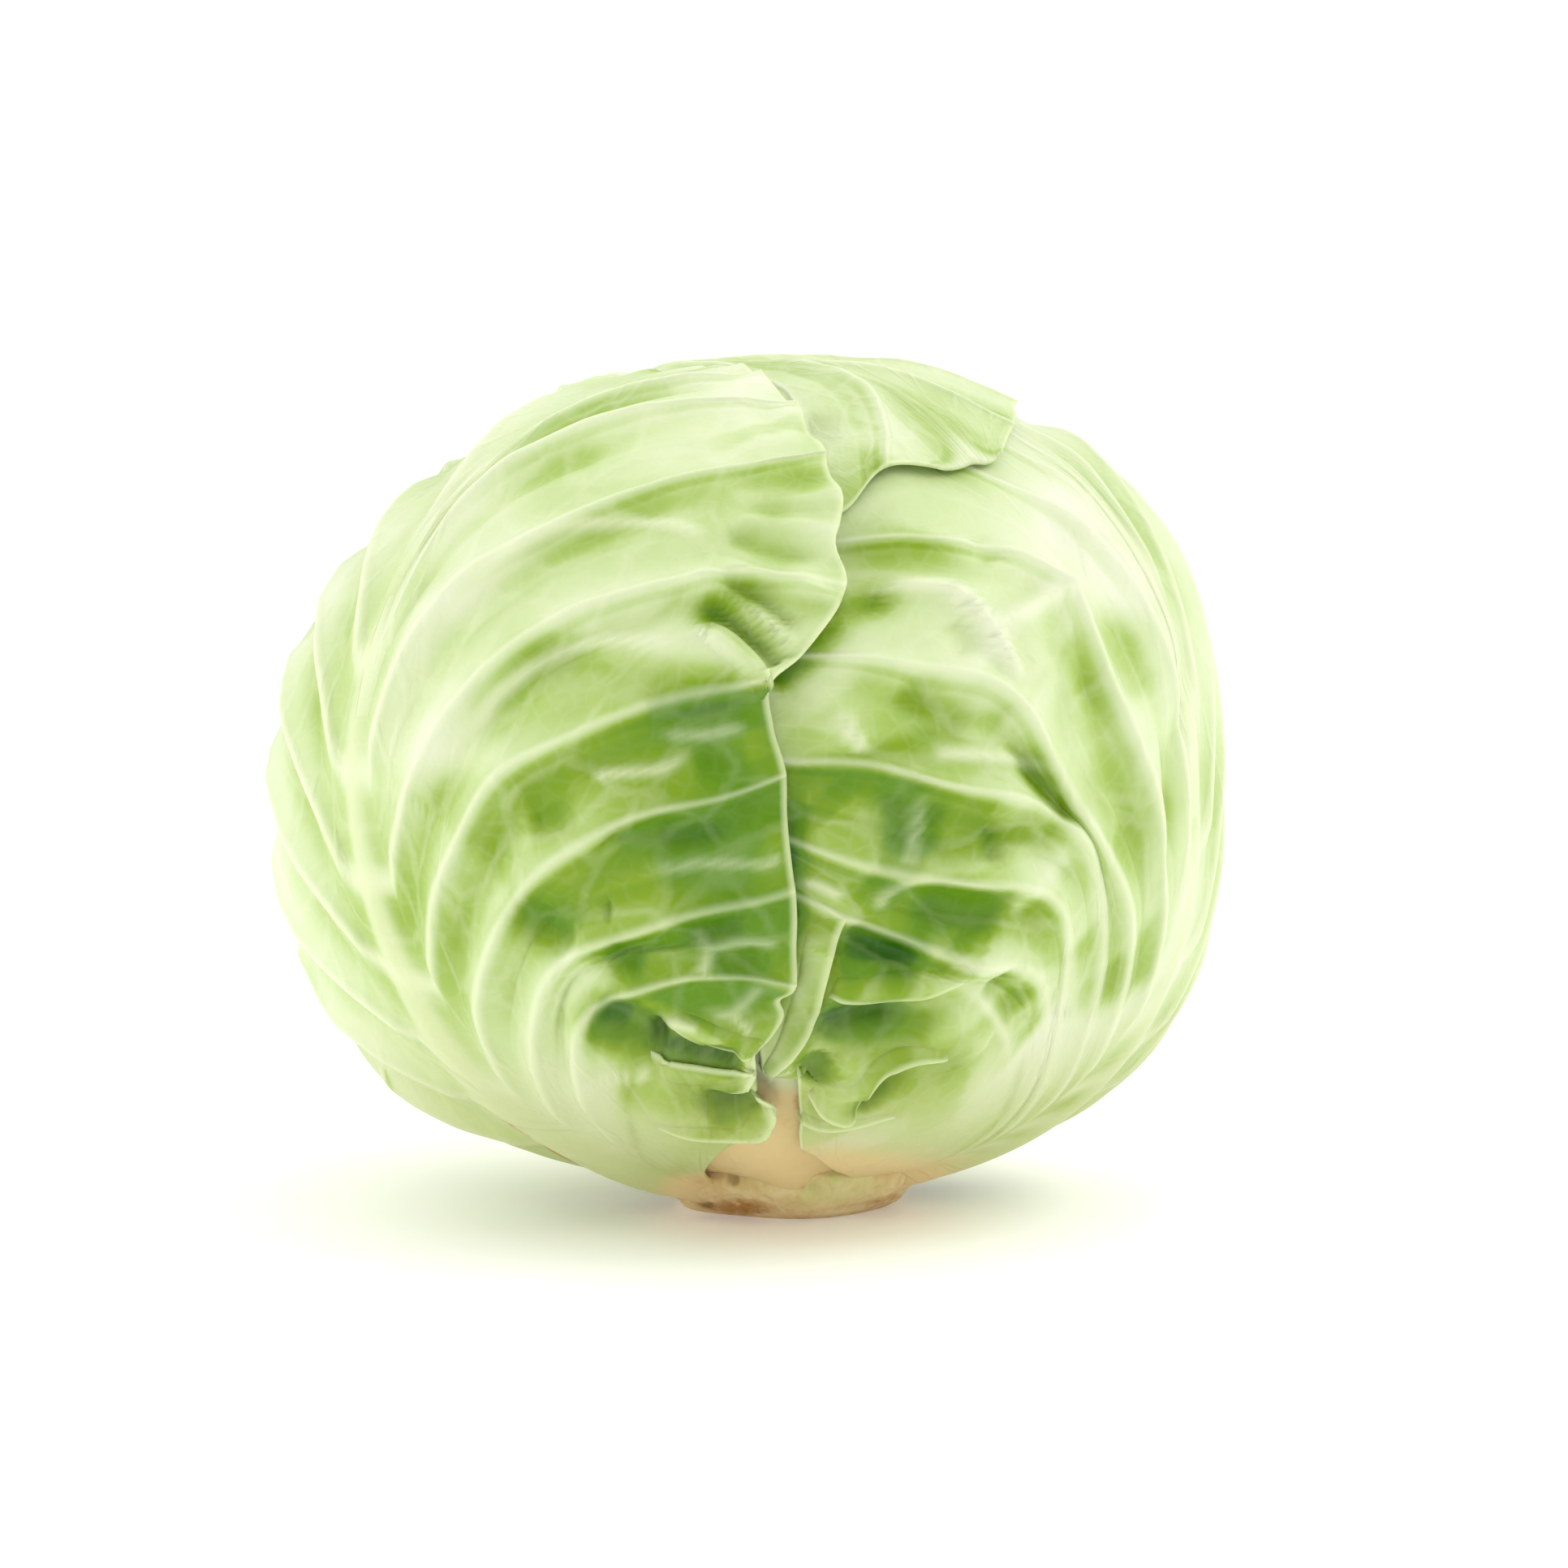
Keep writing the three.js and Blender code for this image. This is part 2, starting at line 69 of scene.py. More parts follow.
def bell(values: Array, width: float) -> Array:
    """A bell curve, exp(-(v / width)^2)."""
    return np.exp(-(values / width) ** 2)


def between(ends: Point, share: Array) -> Array:
    """The first end at share 0 and the second at share 1, in a straight line."""
    return ends[0] + (ends[1] - ends[0]) * share


def crossed(first: Array, second: Array) -> Array:
    """The area between two arrows, x1 y2 - y1 x2."""
    return first[..., 0] * second[..., 1] - first[..., 1] * second[..., 0]


def fade_at_ends(along: Array, ends: Point) -> Array:
    """0 at both ends of a path and 1 between, over a share of it at each end."""
    return smooth(along, -0.001, ends[0]) * smooth(1 - along, -0.001, ends[1])


def catmull_rom(knots: Iterable[Array], share: Array) -> Array:
    """The curve from knot b to knot c of a, b, c, d, with the tangent (c - a) / 2 at b."""
    a, b, c, d = knots
    return 0.5 * (2 * b + (c - a) * share + (2 * a - 5 * b + 4 * c - d) * share ** 2
                  + (3 * b - a - 3 * c + d) * share ** 3)


def curve_at(points: Sequence[Point], steps: Array) -> Array:
    """A Catmull-Rom curve that is on point k at step k.

    Args:
        points: The points that the curve passes through.
        steps: Where to read it, from 0 to the number of points less one.

    Returns:
        An array of places, one for each step.
    """
    knots = np.asarray(points, dtype=float)
    knots = np.vstack([2 * knots[0] - knots[1], knots, 2 * knots[-1] - knots[-2]])
    start = np.clip(np.floor(steps).astype(int), 0, len(points) - 2)
    share = (np.asarray(steps) - start)[..., None]
    return catmull_rom((knots[start + shift] for shift in range(4)), share)


def smooth_path(points: Sequence[Point], count: int) -> Array:
    """The curve through some points, as count places along it."""
    return curve_at(points, np.linspace(0, len(points) - 1, count))


def path_distance(places: Array, path: Array) -> tuple[Array, Array, Array]:
    """How places lie to an open path of straight stretches.

    Args:
        places: Places in the drawing, in an array whose last axis is x, y.
        path: The path's corners.

    Returns:
        The distance to the path, the share of the way along it, and the side: 1 to its left.
    """
    flat = places.reshape(-1, 2)
    parts = np.array_split(flat, max(1, len(flat) * len(path) // 600_000))
    found = [nearest_on_path(part, path) for part in parts]
    return tuple(np.concatenate(values).reshape(places.shape[:-1]) for values in zip(*found))


def nearest_on_path(flat: Array, path: Array) -> tuple[Array, Array, Array]:
    """Does path_distance's work for a plain list of places, each dropped on every stretch."""
    start, stretch = path[:-1], np.diff(path, axis=0)
    offset = flat[:, None, :] - start[None]
    share = np.clip((offset * stretch).sum(-1) / (stretch ** 2).sum(-1), 0.0, 1.0)
    gap = offset - share[..., None] * stretch
    distance = np.hypot(gap[..., 0], gap[..., 1])
    nearest = distance.argmin(axis=1)
    pick = np.arange(len(flat)), nearest
    turn = crossed(stretch[nearest], offset[pick])
    return distance[pick], (nearest + share[pick]) / len(start), np.sign(turn)


def is_inside(places: Array, outline: Array) -> Array:
    """True for the places inside a closed outline, by counting the edges to their right."""
    x, y = places[..., 0:1], places[..., 1:2]
    ax, ay = outline.T
    bx, by = np.roll(outline, -1, axis=0).T
    rise = np.where(by == ay, 1.0, by - ay)
    crossing = ((ay > y) != (by > y)) & (x < ax + (bx - ax) * (y - ay) / rise)
    return crossing.sum(axis=-1) % 2 == 1


@dataclass(frozen=True)
class Ripple:
    """Smooth random relief: a sum of plane waves with random headings and phases."""

    size: float
    seed: int
    waves: int = 28

    def at(self, places: Array) -> Array:
        """The sum of sin(k . p + phase) over the waves, scaled to a spread of about 1."""
        draw = np.random.default_rng(self.seed)
        heading = draw.normal(size=(self.waves, places.shape[-1]))
        heading /= np.linalg.norm(heading, axis=1, keepdims=True)
        pace = 2 * math.pi / (self.size * draw.uniform(0.7, 1.6, self.waves))
        phase = draw.uniform(0, 2 * math.pi, self.waves)
        turns = places @ (heading * pace[:, None]).T + phase
        return np.sin(turns).sum(axis=-1) * math.sqrt(2 / self.waves)


# ---- The head's form ----------------------------------------------------------------------

def direction_at(azimuth: float, elevation: float) -> Array:
    """The unit direction at an azimuth, 0 at the front, and an elevation, in degrees."""
    turn, rise = math.radians(azimuth), math.radians(elevation)
    return np.array([math.sin(turn) * math.cos(rise), -math.cos(turn) * math.cos(rise),
                     math.sin(rise)])


@dataclass(frozen=True)
class Swell:
    """A place where the head is fuller, or flatter if its height is negative."""

    azimuth: float
    elevation: float
    spread: float
    height: float

    def rise(self, directions: Array) -> Array:
        """height * exp(-(angle / spread)^2), for the angle from the swell's middle."""
        cosine = np.clip(directions @ direction_at(self.azimuth, self.elevation), -1, 1)
        return self.height * bell(np.degrees(np.arccos(cosine)), self.spread)


@dataclass(frozen=True)
class HeadForm:
    """The head's skin: |x/a|^n + |y/b|^n + |z/c|^n = 1 round its centre, with swells."""

    centre: Place = (-7.35, 0.0, 80.0)
    half_size: Place = (86.5, 83.5, 75.0)
    fullness: float = 2.3
    swells: tuple[Swell, ...] = (
        Swell(-90, 38, 25, -7), Swell(90, 0, 20, -2), Swell(90, -38, 26, 3), Swell(65, 58, 16, 3))

    def radius(self, directions: Array) -> Array:
        """Distance from the centre to the skin in each unit direction."""
        powers = np.abs(directions / np.array(self.half_size)) ** self.fullness
        radius = powers.sum(axis=-1) ** (-1 / self.fullness)
        return radius + sum(swell.rise(directions) for swell in self.swells)

    def place(self, directions: Array, radius: Array) -> Array:
        """The places at a radius in each direction."""
        return np.array(self.centre) + directions * radius[..., None]


HEAD = HeadForm()


# ---- Meshes -------------------------------------------------------------------------------

@dataclass
class Sheet:
    """A grid of places on both faces of a thin sheet, with what its finish reads there."""

    outer: Array
    inner: Array
    reads: dict[str, Array]


def sheet_faces(rows: int, columns: int, first: int) -> Array:
    """Quads of a closed shell: an outer grid, the inner grid turned over, and their rim."""
    numbers = first + np.arange(rows * columns).reshape(rows, columns)
    a, b = numbers[:-1, :-1], numbers[:-1, 1:]
    d, c = numbers[1:, :-1], numbers[1:, 1:]
    outer = np.stack([a, b, c, d], axis=-1).reshape(-1, 4)
    inner = outer[:, ::-1] + rows * columns
    ring = np.concatenate([numbers[0, :-1], numbers[:-1, -1], numbers[-1, :0:-1],
                           numbers[:0:-1, 0]])
    after = np.roll(ring, -1)
    back = rows * columns
    rim = np.stack([after, ring, ring + back, after + back], axis=-1)
    return np.concatenate([outer, inner, rim])


def new_object(name: str, data: bpy.types.ID) -> bpy.types.Object:
    """Makes an object and links it to the scene."""
    made = bpy.data.objects.new(name, data)
    bpy.context.scene.collection.objects.link(made)
    return made


def mesh_object(name: str, places: Array, faces: Array, reads: dict[str, Array]) -> bpy.types.Object:
    """Makes a smooth mesh object, in metres, with a float or vector attribute for each read.

    Args:
        name: The piece's name.
        places: Corner places in millimetres, one row each.
        faces: Corner numbers of the quads; a triangle repeats its last corner.
        reads: What the finish reads at each corner, by name.

    Returns:
        The new object, linked to the scene.
    """
    mesh = bpy.data.meshes.new(name)
    keep = np.ones(faces.shape, dtype=bool)
    keep[:, 3] = faces[:, 3] != faces[:, 2]
    sizes = keep.sum(axis=1)
    mesh.vertices.add(len(places))
    mesh.vertices.foreach_set("co", (places * MM).astype(np.float32).ravel())
    mesh.loops.add(int(sizes.sum()))
    mesh.loops.foreach_set("vertex_index", faces[keep].astype(np.int32))
    mesh.polygons.add(len(faces))
    mesh.polygons.foreach_set("loop_start", (np.cumsum(sizes) - sizes).astype(np.int32))
    mesh.polygons.foreach_set("use_smooth", np.ones(len(faces), dtype=bool))
    for read, values in reads.items():
        several = values.ndim == 2 and values.shape[1] == 3
        kind, entry = ("FLOAT_VECTOR", "vector") if several else ("FLOAT", "value")
        attribute = mesh.attributes.new(read, kind, "POINT")
        attribute.data.foreach_set(entry, values.astype(np.float32).ravel())
    mesh.update(calc_edges=True)
    mesh.validate()
    return new_object(name, mesh)


def sheets_object(name: str, sheets: Sequence[Sheet]) -> bpy.types.Object:
    """Joins closed sheets in one object."""
    places, faces, reads, first = [], [], {key: [] for key in sheets[0].reads}, 0
    for sheet in sheets:
        rows, columns = sheet.outer.shape[:2]
        places += [sheet.outer.reshape(-1, 3), sheet.inner.reshape(-1, 3)]
        faces.append(sheet_faces(rows, columns, first))
        for key, values in sheet.reads.items():
            reads[key] += [values.reshape(rows * columns, *values.shape[2:])] * 2
        first += 2 * rows * columns
    joined = {key: np.concatenate(values) for key, values in reads.items()}
    return mesh_object(name, np.concatenate(places), np.concatenate(faces), joined)


# ---- Leaves -------------------------------------------------------------------------------

class ReliefMap:
    """Heights kept on a square lattice over a leaf's drawing, to be read at any place."""

    def __init__(self, places: Array, heights: Array, cell: float = 2.0) -> None:
        """Averages the heights in each cell, fills the empty cells, then takes the lowest around."""
        flat = places.reshape(-1, 2)
        self.cell = cell
        self.low = flat.min(axis=0) - 2 * cell
        shape = tuple(((flat.max(axis=0) - self.low) / cell + 4).astype(int))
        index = np.ravel_multi_index(tuple(((flat - self.low) / cell + 0.5).astype(int).T), shape)
        size = shape[0] * shape[1]
        count = np.bincount(index, minlength=size).reshape(shape).astype(float)
        total = np.bincount(index, heights.ravel(), minlength=size).reshape(shape)
        for _ in range(4):
            spread = [np.roll(grid, shift, axis) for grid in (count, total)
                      for shift in (-1, 1) for axis in (0, 1)]
            empty = count == 0
            count = np.where(empty, sum(spread[:4]), count)
            total = np.where(empty, sum(spread[4:]), total)
        heights = total / np.maximum(count, 1)
        for axis in (0, 1):
            heights = np.minimum(heights, np.minimum(np.roll(heights, 1, axis),
                                                     np.roll(heights, -1, axis)))
        self.heights = heights

    def at(self, places: Array) -> Array:
        """The height at each place, blended between the four nearest cells."""
        spot = (places - self.low) / self.cell
        spot = np.clip(spot, 0, np.array(self.heights.shape) - 1.001)
        corner = spot.astype(int)
        share = spot - corner
        i, j, u, v = corner[..., 0], corner[..., 1], share[..., 0], share[..., 1]
        grid = self.heights
        return ((grid[i, j] * (1 - u) + grid[i + 1, j] * u) * (1 - v)
                + (grid[i, j + 1] * (1 - u) + grid[i + 1, j + 1] * u) * v)


@dataclass(frozen=True)
class Stroke:
    """Something laid along a path of the drawing, such as a ridge, a hollow, a place of deeper green,
    painted shade or a painted highlight.

    Its amount is a height in millimetres, or a share where it is a colour.
    """

    points: Row
    amount: float
    width: float
    ends: Point = (0.2, 0.2)

    def at(self, places: Array) -> Array:
        """amount * exp(-(distance / width)^2), fading out over the path's two ends."""
        path = smooth_path(self.points, 4 * len(self.points))
        distance, along, _ = path_distance(places, path)
        return self.amount * bell(distance, self.width) * fade_at_ends(along, self.ends)


def laid(strokes: Sequence[Stroke], base: Array, places: Array) -> Array:
    """A base with some strokes added."""
    return base + sum(stroke.at(places) for stroke in strokes)


@dataclass(frozen=True)
class Flap:
    """A free edge inside a leaf's outline, where the blade folds over itself.

    The flap rises out of the leaf along its root and ends in the free edge, both drawn from
    the same end.
    """

    edge: Row
    root: Row
    lift: float
    ends: Point
    curl: float


@dataclass(frozen=True)
class Drawing:
    """A leaf's flat drawing. Each row is a side vein, from its root to the margin.

    A row is three points, of which the middle one pulls the vein into a bend, or five points
    that are all on the vein.
    """

    name: str
    azimuth: float
    elevation: float
    right: tuple[Row, ...]
    left: tuple[Row, ...]
    right_margin: Row = ()
    left_margin: Row = ()
    relief: tuple[Stroke, ...] = ()
    green_shade_and_highlight: tuple[Stroke, ...] = ()
    browner: tuple[Stroke, ...] = ()
    branches: tuple[Row, ...] = ()
    flaps: tuple[Flap, ...] = ()
    rib_height: float = 1.2
    fold: float = 0.0
    crumple: float = 0.6
    paleness: float = 0.2
    margin_lift: float = 1.6
    flesh: Point = (14.0, 26.0)
    plain_rows: int = 1
    seed: int = 1


class HalfBlade:
    """Half a leaf: a net of side veins, each a curve through five points."""

    def __init__(self, rows: Sequence[Row], margin: Sequence[Point]) -> None:
        """Keeps the rows, and sets how their ends run along the margin."""
        self.rows = np.array([self._five_points(np.array(row, dtype=float)) for row in rows])
        self.last_step = len(rows) - 1
        self.margin = np.array(margin if len(margin) else self.rows[:, -1], dtype=float)
        self.margin_steps = self._steps_along_margin()

    @staticmethod
    def _five_points(row: Array) -> Array:
        """Points (1-t)^2 root + 2t(1-t) bend + t^2 margin at quarters, if the row has three."""
        if len(row) == 5:
            return row
        share = np.linspace(0, 1, 5)[:, None]
        return (1 - share) ** 2 * row[0] + 2 * share * (1 - share) * row[1] + share ** 2 * row[2]

    def _steps_along_margin(self) -> Array:
        """Where each row's end comes nearest to the margin's curve, in that curve's steps."""
        fine = np.linspace(0, len(self.margin) - 1, 40 * len(self.margin))
        places = curve_at(self.margin, fine)
        gaps = np.linalg.norm(places[None] - self.rows[:, -1][:, None], axis=-1)
        steps = fine[gaps.argmin(axis=1)]
        steps[0], steps[-1] = 0, len(self.margin) - 1
        return np.maximum.accumulate(steps)

    def margin_at(self, steps: Array) -> Array:
        """The end of each row."""
        along = np.interp(steps, np.arange(self.last_step + 1), self.margin_steps)
        return curve_at(self.margin, along)

    def at(self, steps: Array, shares: Array) -> Array:
        """Places a share of the way out along each row, by a Catmull-Rom curve through it."""
        points = [curve_at(self.rows[:, column], steps) for column in range(4)]
        points.append(self.margin_at(steps))
        knots = np.stack([2 * points[0] - points[1], *points, 2 * points[4] - points[3]])
        way = np.clip(shares, 0, 1) * 4
        start = np.minimum(way.astype(int), 3)
        share = (way - start)[..., None]
        return catmull_rom((np.take_along_axis(knots, (start + shift)[None, ..., None], axis=0)[0]
                            for shift in range(4)), share)


Waves = tuple[tuple[float, float, int], ...]


@dataclass(frozen=True)
class LeafSizes:
    """How thick a leaf is, how the leaves lie on one another, and how their relief is shaped.

    Waves are ripples, each as its share, its size and what it adds to the leaf's seed.
    """

    drawing_radius: float = 85.0
    blade: float = 0.8
    layer_gap: float = 1.0
    cover_rim: float = 1.0
    cover_fade: float = 9.0
    stalk_width: Point = (15.0, 2.0)
    stalk_extra: Point = (5.0, 0.4)
    stalk_outward: float = 0.7
    rib_width: Point = (2.2, 1.4)
    crest_width: float = 4.5
    dip_below: float = 6.5
    dip_width: float = 3.6
    dip_depth: float = 0.8
    branch_height: float = 0.45
    branch_width: float = 1.15
    stray: Waves = ((0.045, 30, 7),)
    wrinkles: Waves = ((0.6, 26, 0), (0.3, 11, 1))
    sway: Waves = ((0.4, 34, 2), (0.3, 9, 3))
    patches: Waves = ((0.08, 45, 5),)
    shade_below: float = 4.0
    flesh_at: Place = (-2.0, -24.0, 2.0)
    low_shade_height: Point = (4.0, 52.0)
    flap_grid: tuple[int, int] = (60, 22)
    flap_sink: float = 0.5
    rounded_rim: tuple[float, ...] = (0.9935, 0.9965, 0.9985, 1.0)


SIZES = LeafSizes()


def rounded(edge: Array) -> Array:
    """The blade's share of its thickness near its edge: a half circle, sqrt(1 - (1 - e / r)^2)."""
    return np.sqrt(1 - (1 - np.clip(edge / (0.5 * SIZES.blade), 0.01, 1)) ** 2)


class Leaf:
    """A leaf, wrapped on the head under the leaves that cover it."""

    SEARCH_GRID = (90, 45)
    SEARCH_ROUNDS = 4
    SEARCH_NUDGE = (0.01, 0.001)
    SEARCH_REACH = (0.2, 0.05)

    def __init__(self, drawing: Drawing, rows: int, columns: int) -> None:
        """Sets the leaf's place on the head, and the grid that its mesh will have."""
        self.drawing = drawing
        self.rows, self.columns = rows, columns
        self.out = direction_at(drawing.azimuth, drawing.elevation)
        self.up = direction_at(drawing.azimuth, drawing.elevation + 90)
        self.across = np.cross(self.up, self.out)
        self.left = HalfBlade(drawing.left, drawing.left_margin)
        self.right = HalfBlade(drawing.right, drawing.right_margin)
        self.last_step = len(drawing.right) - 1
        self.outline = self._outline()
        steps = np.linspace(0, self.last_step, 40)
        self.midrib = (self.left.at(steps, 0 * steps) + self.right.at(steps, 0 * steps)) / 2
        self.dents: Optional[ReliefMap] = None

    def _outline(self) -> Array:
        """The leaf's edge, once round."""
        steps = np.linspace(0, self.last_step, 120)
        foot = np.linspace(0, 0.9, 6)
        ones = np.ones_like(steps)
        return np.vstack([self.right.at(0 * foot, foot), self.right.at(steps, ones),
                          self.left.at(steps[::-1], ones), self.left.at(0 * foot, foot[::-1])])

    def to_directions(self, places: Array) -> Array:
        """Wraps places of the drawing: a place r from the middle goes r / R round the head."""
        distance = np.hypot(places[..., 0], places[..., 1])
        angle = distance / SIZES.drawing_radius
        share = np.where(distance > 1e-9, np.sin(angle) / np.maximum(distance, 1e-9), 0.0)
        return (np.cos(angle)[..., None] * self.out
                + (places[..., 0] * share)[..., None] * self.across
                + (places[..., 1] * share)[..., None] * self.up)

    def to_drawing(self, directions: Array) -> Array:
        """Unwraps directions: the inverse of to_directions."""
        x, y = directions @ self.across, directions @ self.up
        sine = np.hypot(x, y)
        angle = np.arctan2(sine, directions @ self.out)
        scale = angle * SIZES.drawing_radius / np.maximum(sine, 1e-9)
        return np.stack([x * scale, y * scale], axis=-1)

    def stalk_extra(self, places: Array) -> Array:
        """How much thicker than the blade the leaf is: a tapering round-backed midrib."""
        distance, along, _ = path_distance(places, self.midrib)
        taper = along ** 0.6
        narrowing = 1 - smooth(distance / between(SIZES.stalk_width, taper), 0.0, 1.0)
        return between(SIZES.stalk_extra, taper) * narrowing

    def press(self, directions: Array) -> tuple[Array, Array]:
        """How far this leaf holds down what is under it.

        Args:
            directions: Directions from the head's centre.

        Returns:
            A share, 1 under the leaf and fading past its margin, and a depth.
        """
        places = self.to_drawing(directions)
        ring = np.vstack([self.outline, self.outline[:1]])
        distance, _, _ = path_distance(places, ring)
        angle = np.hypot(places[..., 0], places[..., 1]) / SIZES.drawing_radius
        shrink = np.sinc(angle / math.pi)
        outside = np.where(is_inside(places, self.outline), 0.0, distance * shrink)
        cover = 1 - smooth(outside, SIZES.cover_rim, SIZES.cover_rim + SIZES.cover_fade)
        inward = self.stalk_extra(places) * (1 - SIZES.stalk_outward)
        return cover, SIZES.blade + SIZES.layer_gap + inward - self.dents.at(places)

    def grid(self) -> tuple[Array, Array, Array]:
        """The net's steps, its shares, negative on the left half, and how far across the stalk.

        Rows crowd together at the veins, and columns at the margins, where the blade's edge
        is rounded over three columns.
        """
        even = np.linspace(0, self.last_step, self.rows)
        steps = even - 0.3 * np.sin(2 * math.pi * even) / (2 * math.pi)
        inner = np.linspace(0, 1, self.columns)[:-1] ** 0.85
        shares = np.concatenate([inner * 0.992, SIZES.rounded_rim])
        stalk = np.linspace(0, 1, 15)[1:-1]
        signed = np.concatenate([-shares[::-1], 0 * stalk, shares])
        across = np.concatenate([0 * shares, stalk, 0 * shares + 1])
        step_grid, share_grid = np.meshgrid(steps, signed, indexing="ij")
        return step_grid, share_grid, np.broadcast_to(across, step_grid.shape)

    def places_on(self, steps: Array, shares: Array, across: Array) -> Array:
        """Places of the drawing for steps and signed shares, and across the stalk between."""
        right = self.right.at(steps, np.maximum(shares, 0))
        left = self.left.at(steps, np.maximum(-shares, 0))
        weight = across[..., None]
        return right * weight + left * (1 - weight)

    def vein_pitch(self, steps: Array, shares: Array, across: Array) -> Array:
        """Distance between neighbouring side veins, square to them: |Pu x Pt| / |Pt|."""
        nearest = np.clip(np.round(steps), 1, self.last_step - 1)
        by_step = (self.places_on(nearest + 0.5, shares, across)
                   - self.places_on(nearest - 0.5, shares, across))
        side = np.where(shares == 0, np.where(across > 0.5, 1.0, -1.0), np.sign(shares))
        near = side * np.clip(np.abs(shares), 0.02, 0.98)
        by_share = (self.places_on(nearest, near + 0.02 * side, across)
                    - self.places_on(nearest, near - 0.02 * side, across))
        area = crossed(by_step, by_share)
        return np.abs(area) / np.maximum(np.hypot(by_share[..., 0], by_share[..., 1]), 1e-6)

    def build(self, covering: Sequence["Leaf"]) -> bpy.types.Object:
        """Makes the leaf's mesh object: its blade, and its flaps."""
        steps, shares, across = self.grid()
        sheets = [self.sheet(steps, shares, across, covering)]
        sheets += [self.flap_sheet(flap, covering) for flap in self.drawing.flaps]
        return sheets_object(self.drawing.name + "_skin", sheets)

    def rib(self, steps: Array, shares: Array, pitch: Array) -> Array:
        """Height of the side veins: h exp(-(d / w)^2) for the distance d to the nearest."""
        out = np.abs(shares)
        distance, real = self.from_vein(steps, pitch)
        room = smooth(pitch, 1.0, 9.0) * smooth(out, 0.0, 0.05)
        height = self.drawing.rib_height * (1 - 0.5 * out) * room
        return real * height * bell(distance, between(SIZES.rib_width, out))

    def ripples(self, waves: Waves, directions: Array) -> Array:
        """The sum of some ripples over the head."""
        spots = directions * SIZES.drawing_radius
        return sum(share * Ripple(size, self.drawing.seed + more).at(spots)
                   for share, size, more in waves)

    def wandering(self, steps: Array, shares: Array, directions: Array) -> Array:
        """Lets the side veins stray a little from the net's rows on their way out."""
        stray = self.ripples(SIZES.stray, directions)
        inside = smooth(steps, 0.0, 1.0) * smooth(self.last_step - steps, 0.0, 1.0)
        return steps + stray * smooth(np.abs(shares), 0.1, 0.6) * inside

    def from_vein(self, steps: Array, pitch: Array) -> tuple[Array, Array]:
        """Distance above the nearest side vein, negative below it, and 1 where it is real."""
        nearest = np.round(steps)
        real = (nearest > self.drawing.plain_rows) & (nearest < self.last_step)
        return (steps - nearest) * pitch, real.astype(float)

    def fold(self, steps: Array, shares: Array, pitch: Array) -> Array:
        """Broad folds: they crest on the side veins and dip steeply just below each one."""
        out = np.abs(shares)
        distance, real = self.from_vein(steps, pitch)
        crest = bell(distance, SIZES.crest_width) * real
        above = np.ceil(steps) - steps
        dip = bell(above * pitch - SIZES.dip_below, SIZES.dip_width)
        dip = dip * smooth(above, 0.0, 0.12) * smooth(1 - above, 0.1, 0.4)
        dip = dip * (np.ceil(steps) < self.last_step) * (np.ceil(steps) > self.drawing.plain_rows)
        height = self.drawing.fold * smooth(pitch, 4.0, 16.0)
        height = height * smooth(out, 0.02, 0.3) * smooth(1 - out, 0.02, 0.4)
        return height * (crest - SIZES.dip_depth * dip)

    def surface(self, places: Array, steps: Array, shares: Array, pitch: Array,
                covering: Sequence["Leaf"]) -> tuple[Array, Array, Array, Array]:
        """The leaf's skin at places of its drawing.

        Args:
            places: The places.
            steps: Their steps in the net.
            shares: Their signed shares of the way out.
            pitch: The distance between side veins there.
            covering: The leaves that lie over this one.

        Returns:
            Directions, the radius of the blade's middle relief, how free it is to stand out
            from what covers it, and its relief alone.
        """
        directions = self.to_directions(places)
        radius, free = skin_under(directions, covering)
        out = np.abs(shares)
        relief = self.fold(self.wandering(steps, shares, directions), shares, pitch)
        relief = laid(self.drawing.relief, relief, places)
        relief = relief + SIZES.branch_height * self.branching(places)
        wrinkle = self.ripples(SIZES.wrinkles, directions) * smooth(out, 0.05, 0.5)
        sway = 0.5 + self.ripples(SIZES.sway, directions)
        lift = self.drawing.margin_lift * out ** 8 * (0.3 + 0.7 * smooth(steps, 0, 2.5))
        return directions, radius, free, relief + self.drawing.crumple * wrinkle + lift * sway

    def branching(self, places: Array) -> Array:
        """1 on the small branches between side veins, falling to 0 beside them."""
        found = np.zeros(places.shape[:-1])
        for branch in self.drawing.branches:
            stroke = Stroke(branch, 1.0, SIZES.branch_width, (0.3, 0.15))
            found = np.maximum(found, stroke.at(places))
        return found

    def sheet(self, steps: Array, shares: Array, across: Array,
              covering: Sequence["Leaf"]) -> Sheet:
        """The blade and midrib as one closed sheet.

        Args:
            steps: Steps of the net.
            shares: Signed shares of the way out.
            across: Shares of the way across the stalk.
            covering: The leaves that lie over this one.

        Returns:
            The sheet, of which the outer face stands out by folds, strokes, ribs and stalk.
        """
        places = self.places_on(steps, shares, across)
        pitch = self.vein_pitch(steps, shares, across)
        directions, radius, free, relief = self.surface(places, steps, shares, pitch, covering)
        extra = self.stalk_extra(places)
        wandering = self.wandering(steps, shares, directions)
        rib = self.rib(wandering, shares, pitch)
        edge = self.edge_distance(places, steps, shares)
        self.dents = ReliefMap(places, np.minimum(relief * free, 0))
        middle = radius + free * relief
        half = 0.5 * SIZES.blade * (rounded(edge) - 1)
        outer = HEAD.place(directions, middle + free * (rib + extra * SIZES.stalk_outward) + half)
        inner = HEAD.place(directions, middle - SIZES.blade
                           - extra * (1 - SIZES.stalk_outward) - half)
        reads = self.reads(places, wandering, shares, pitch, relief * free, edge)
        return Sheet(outer, inner, reads)

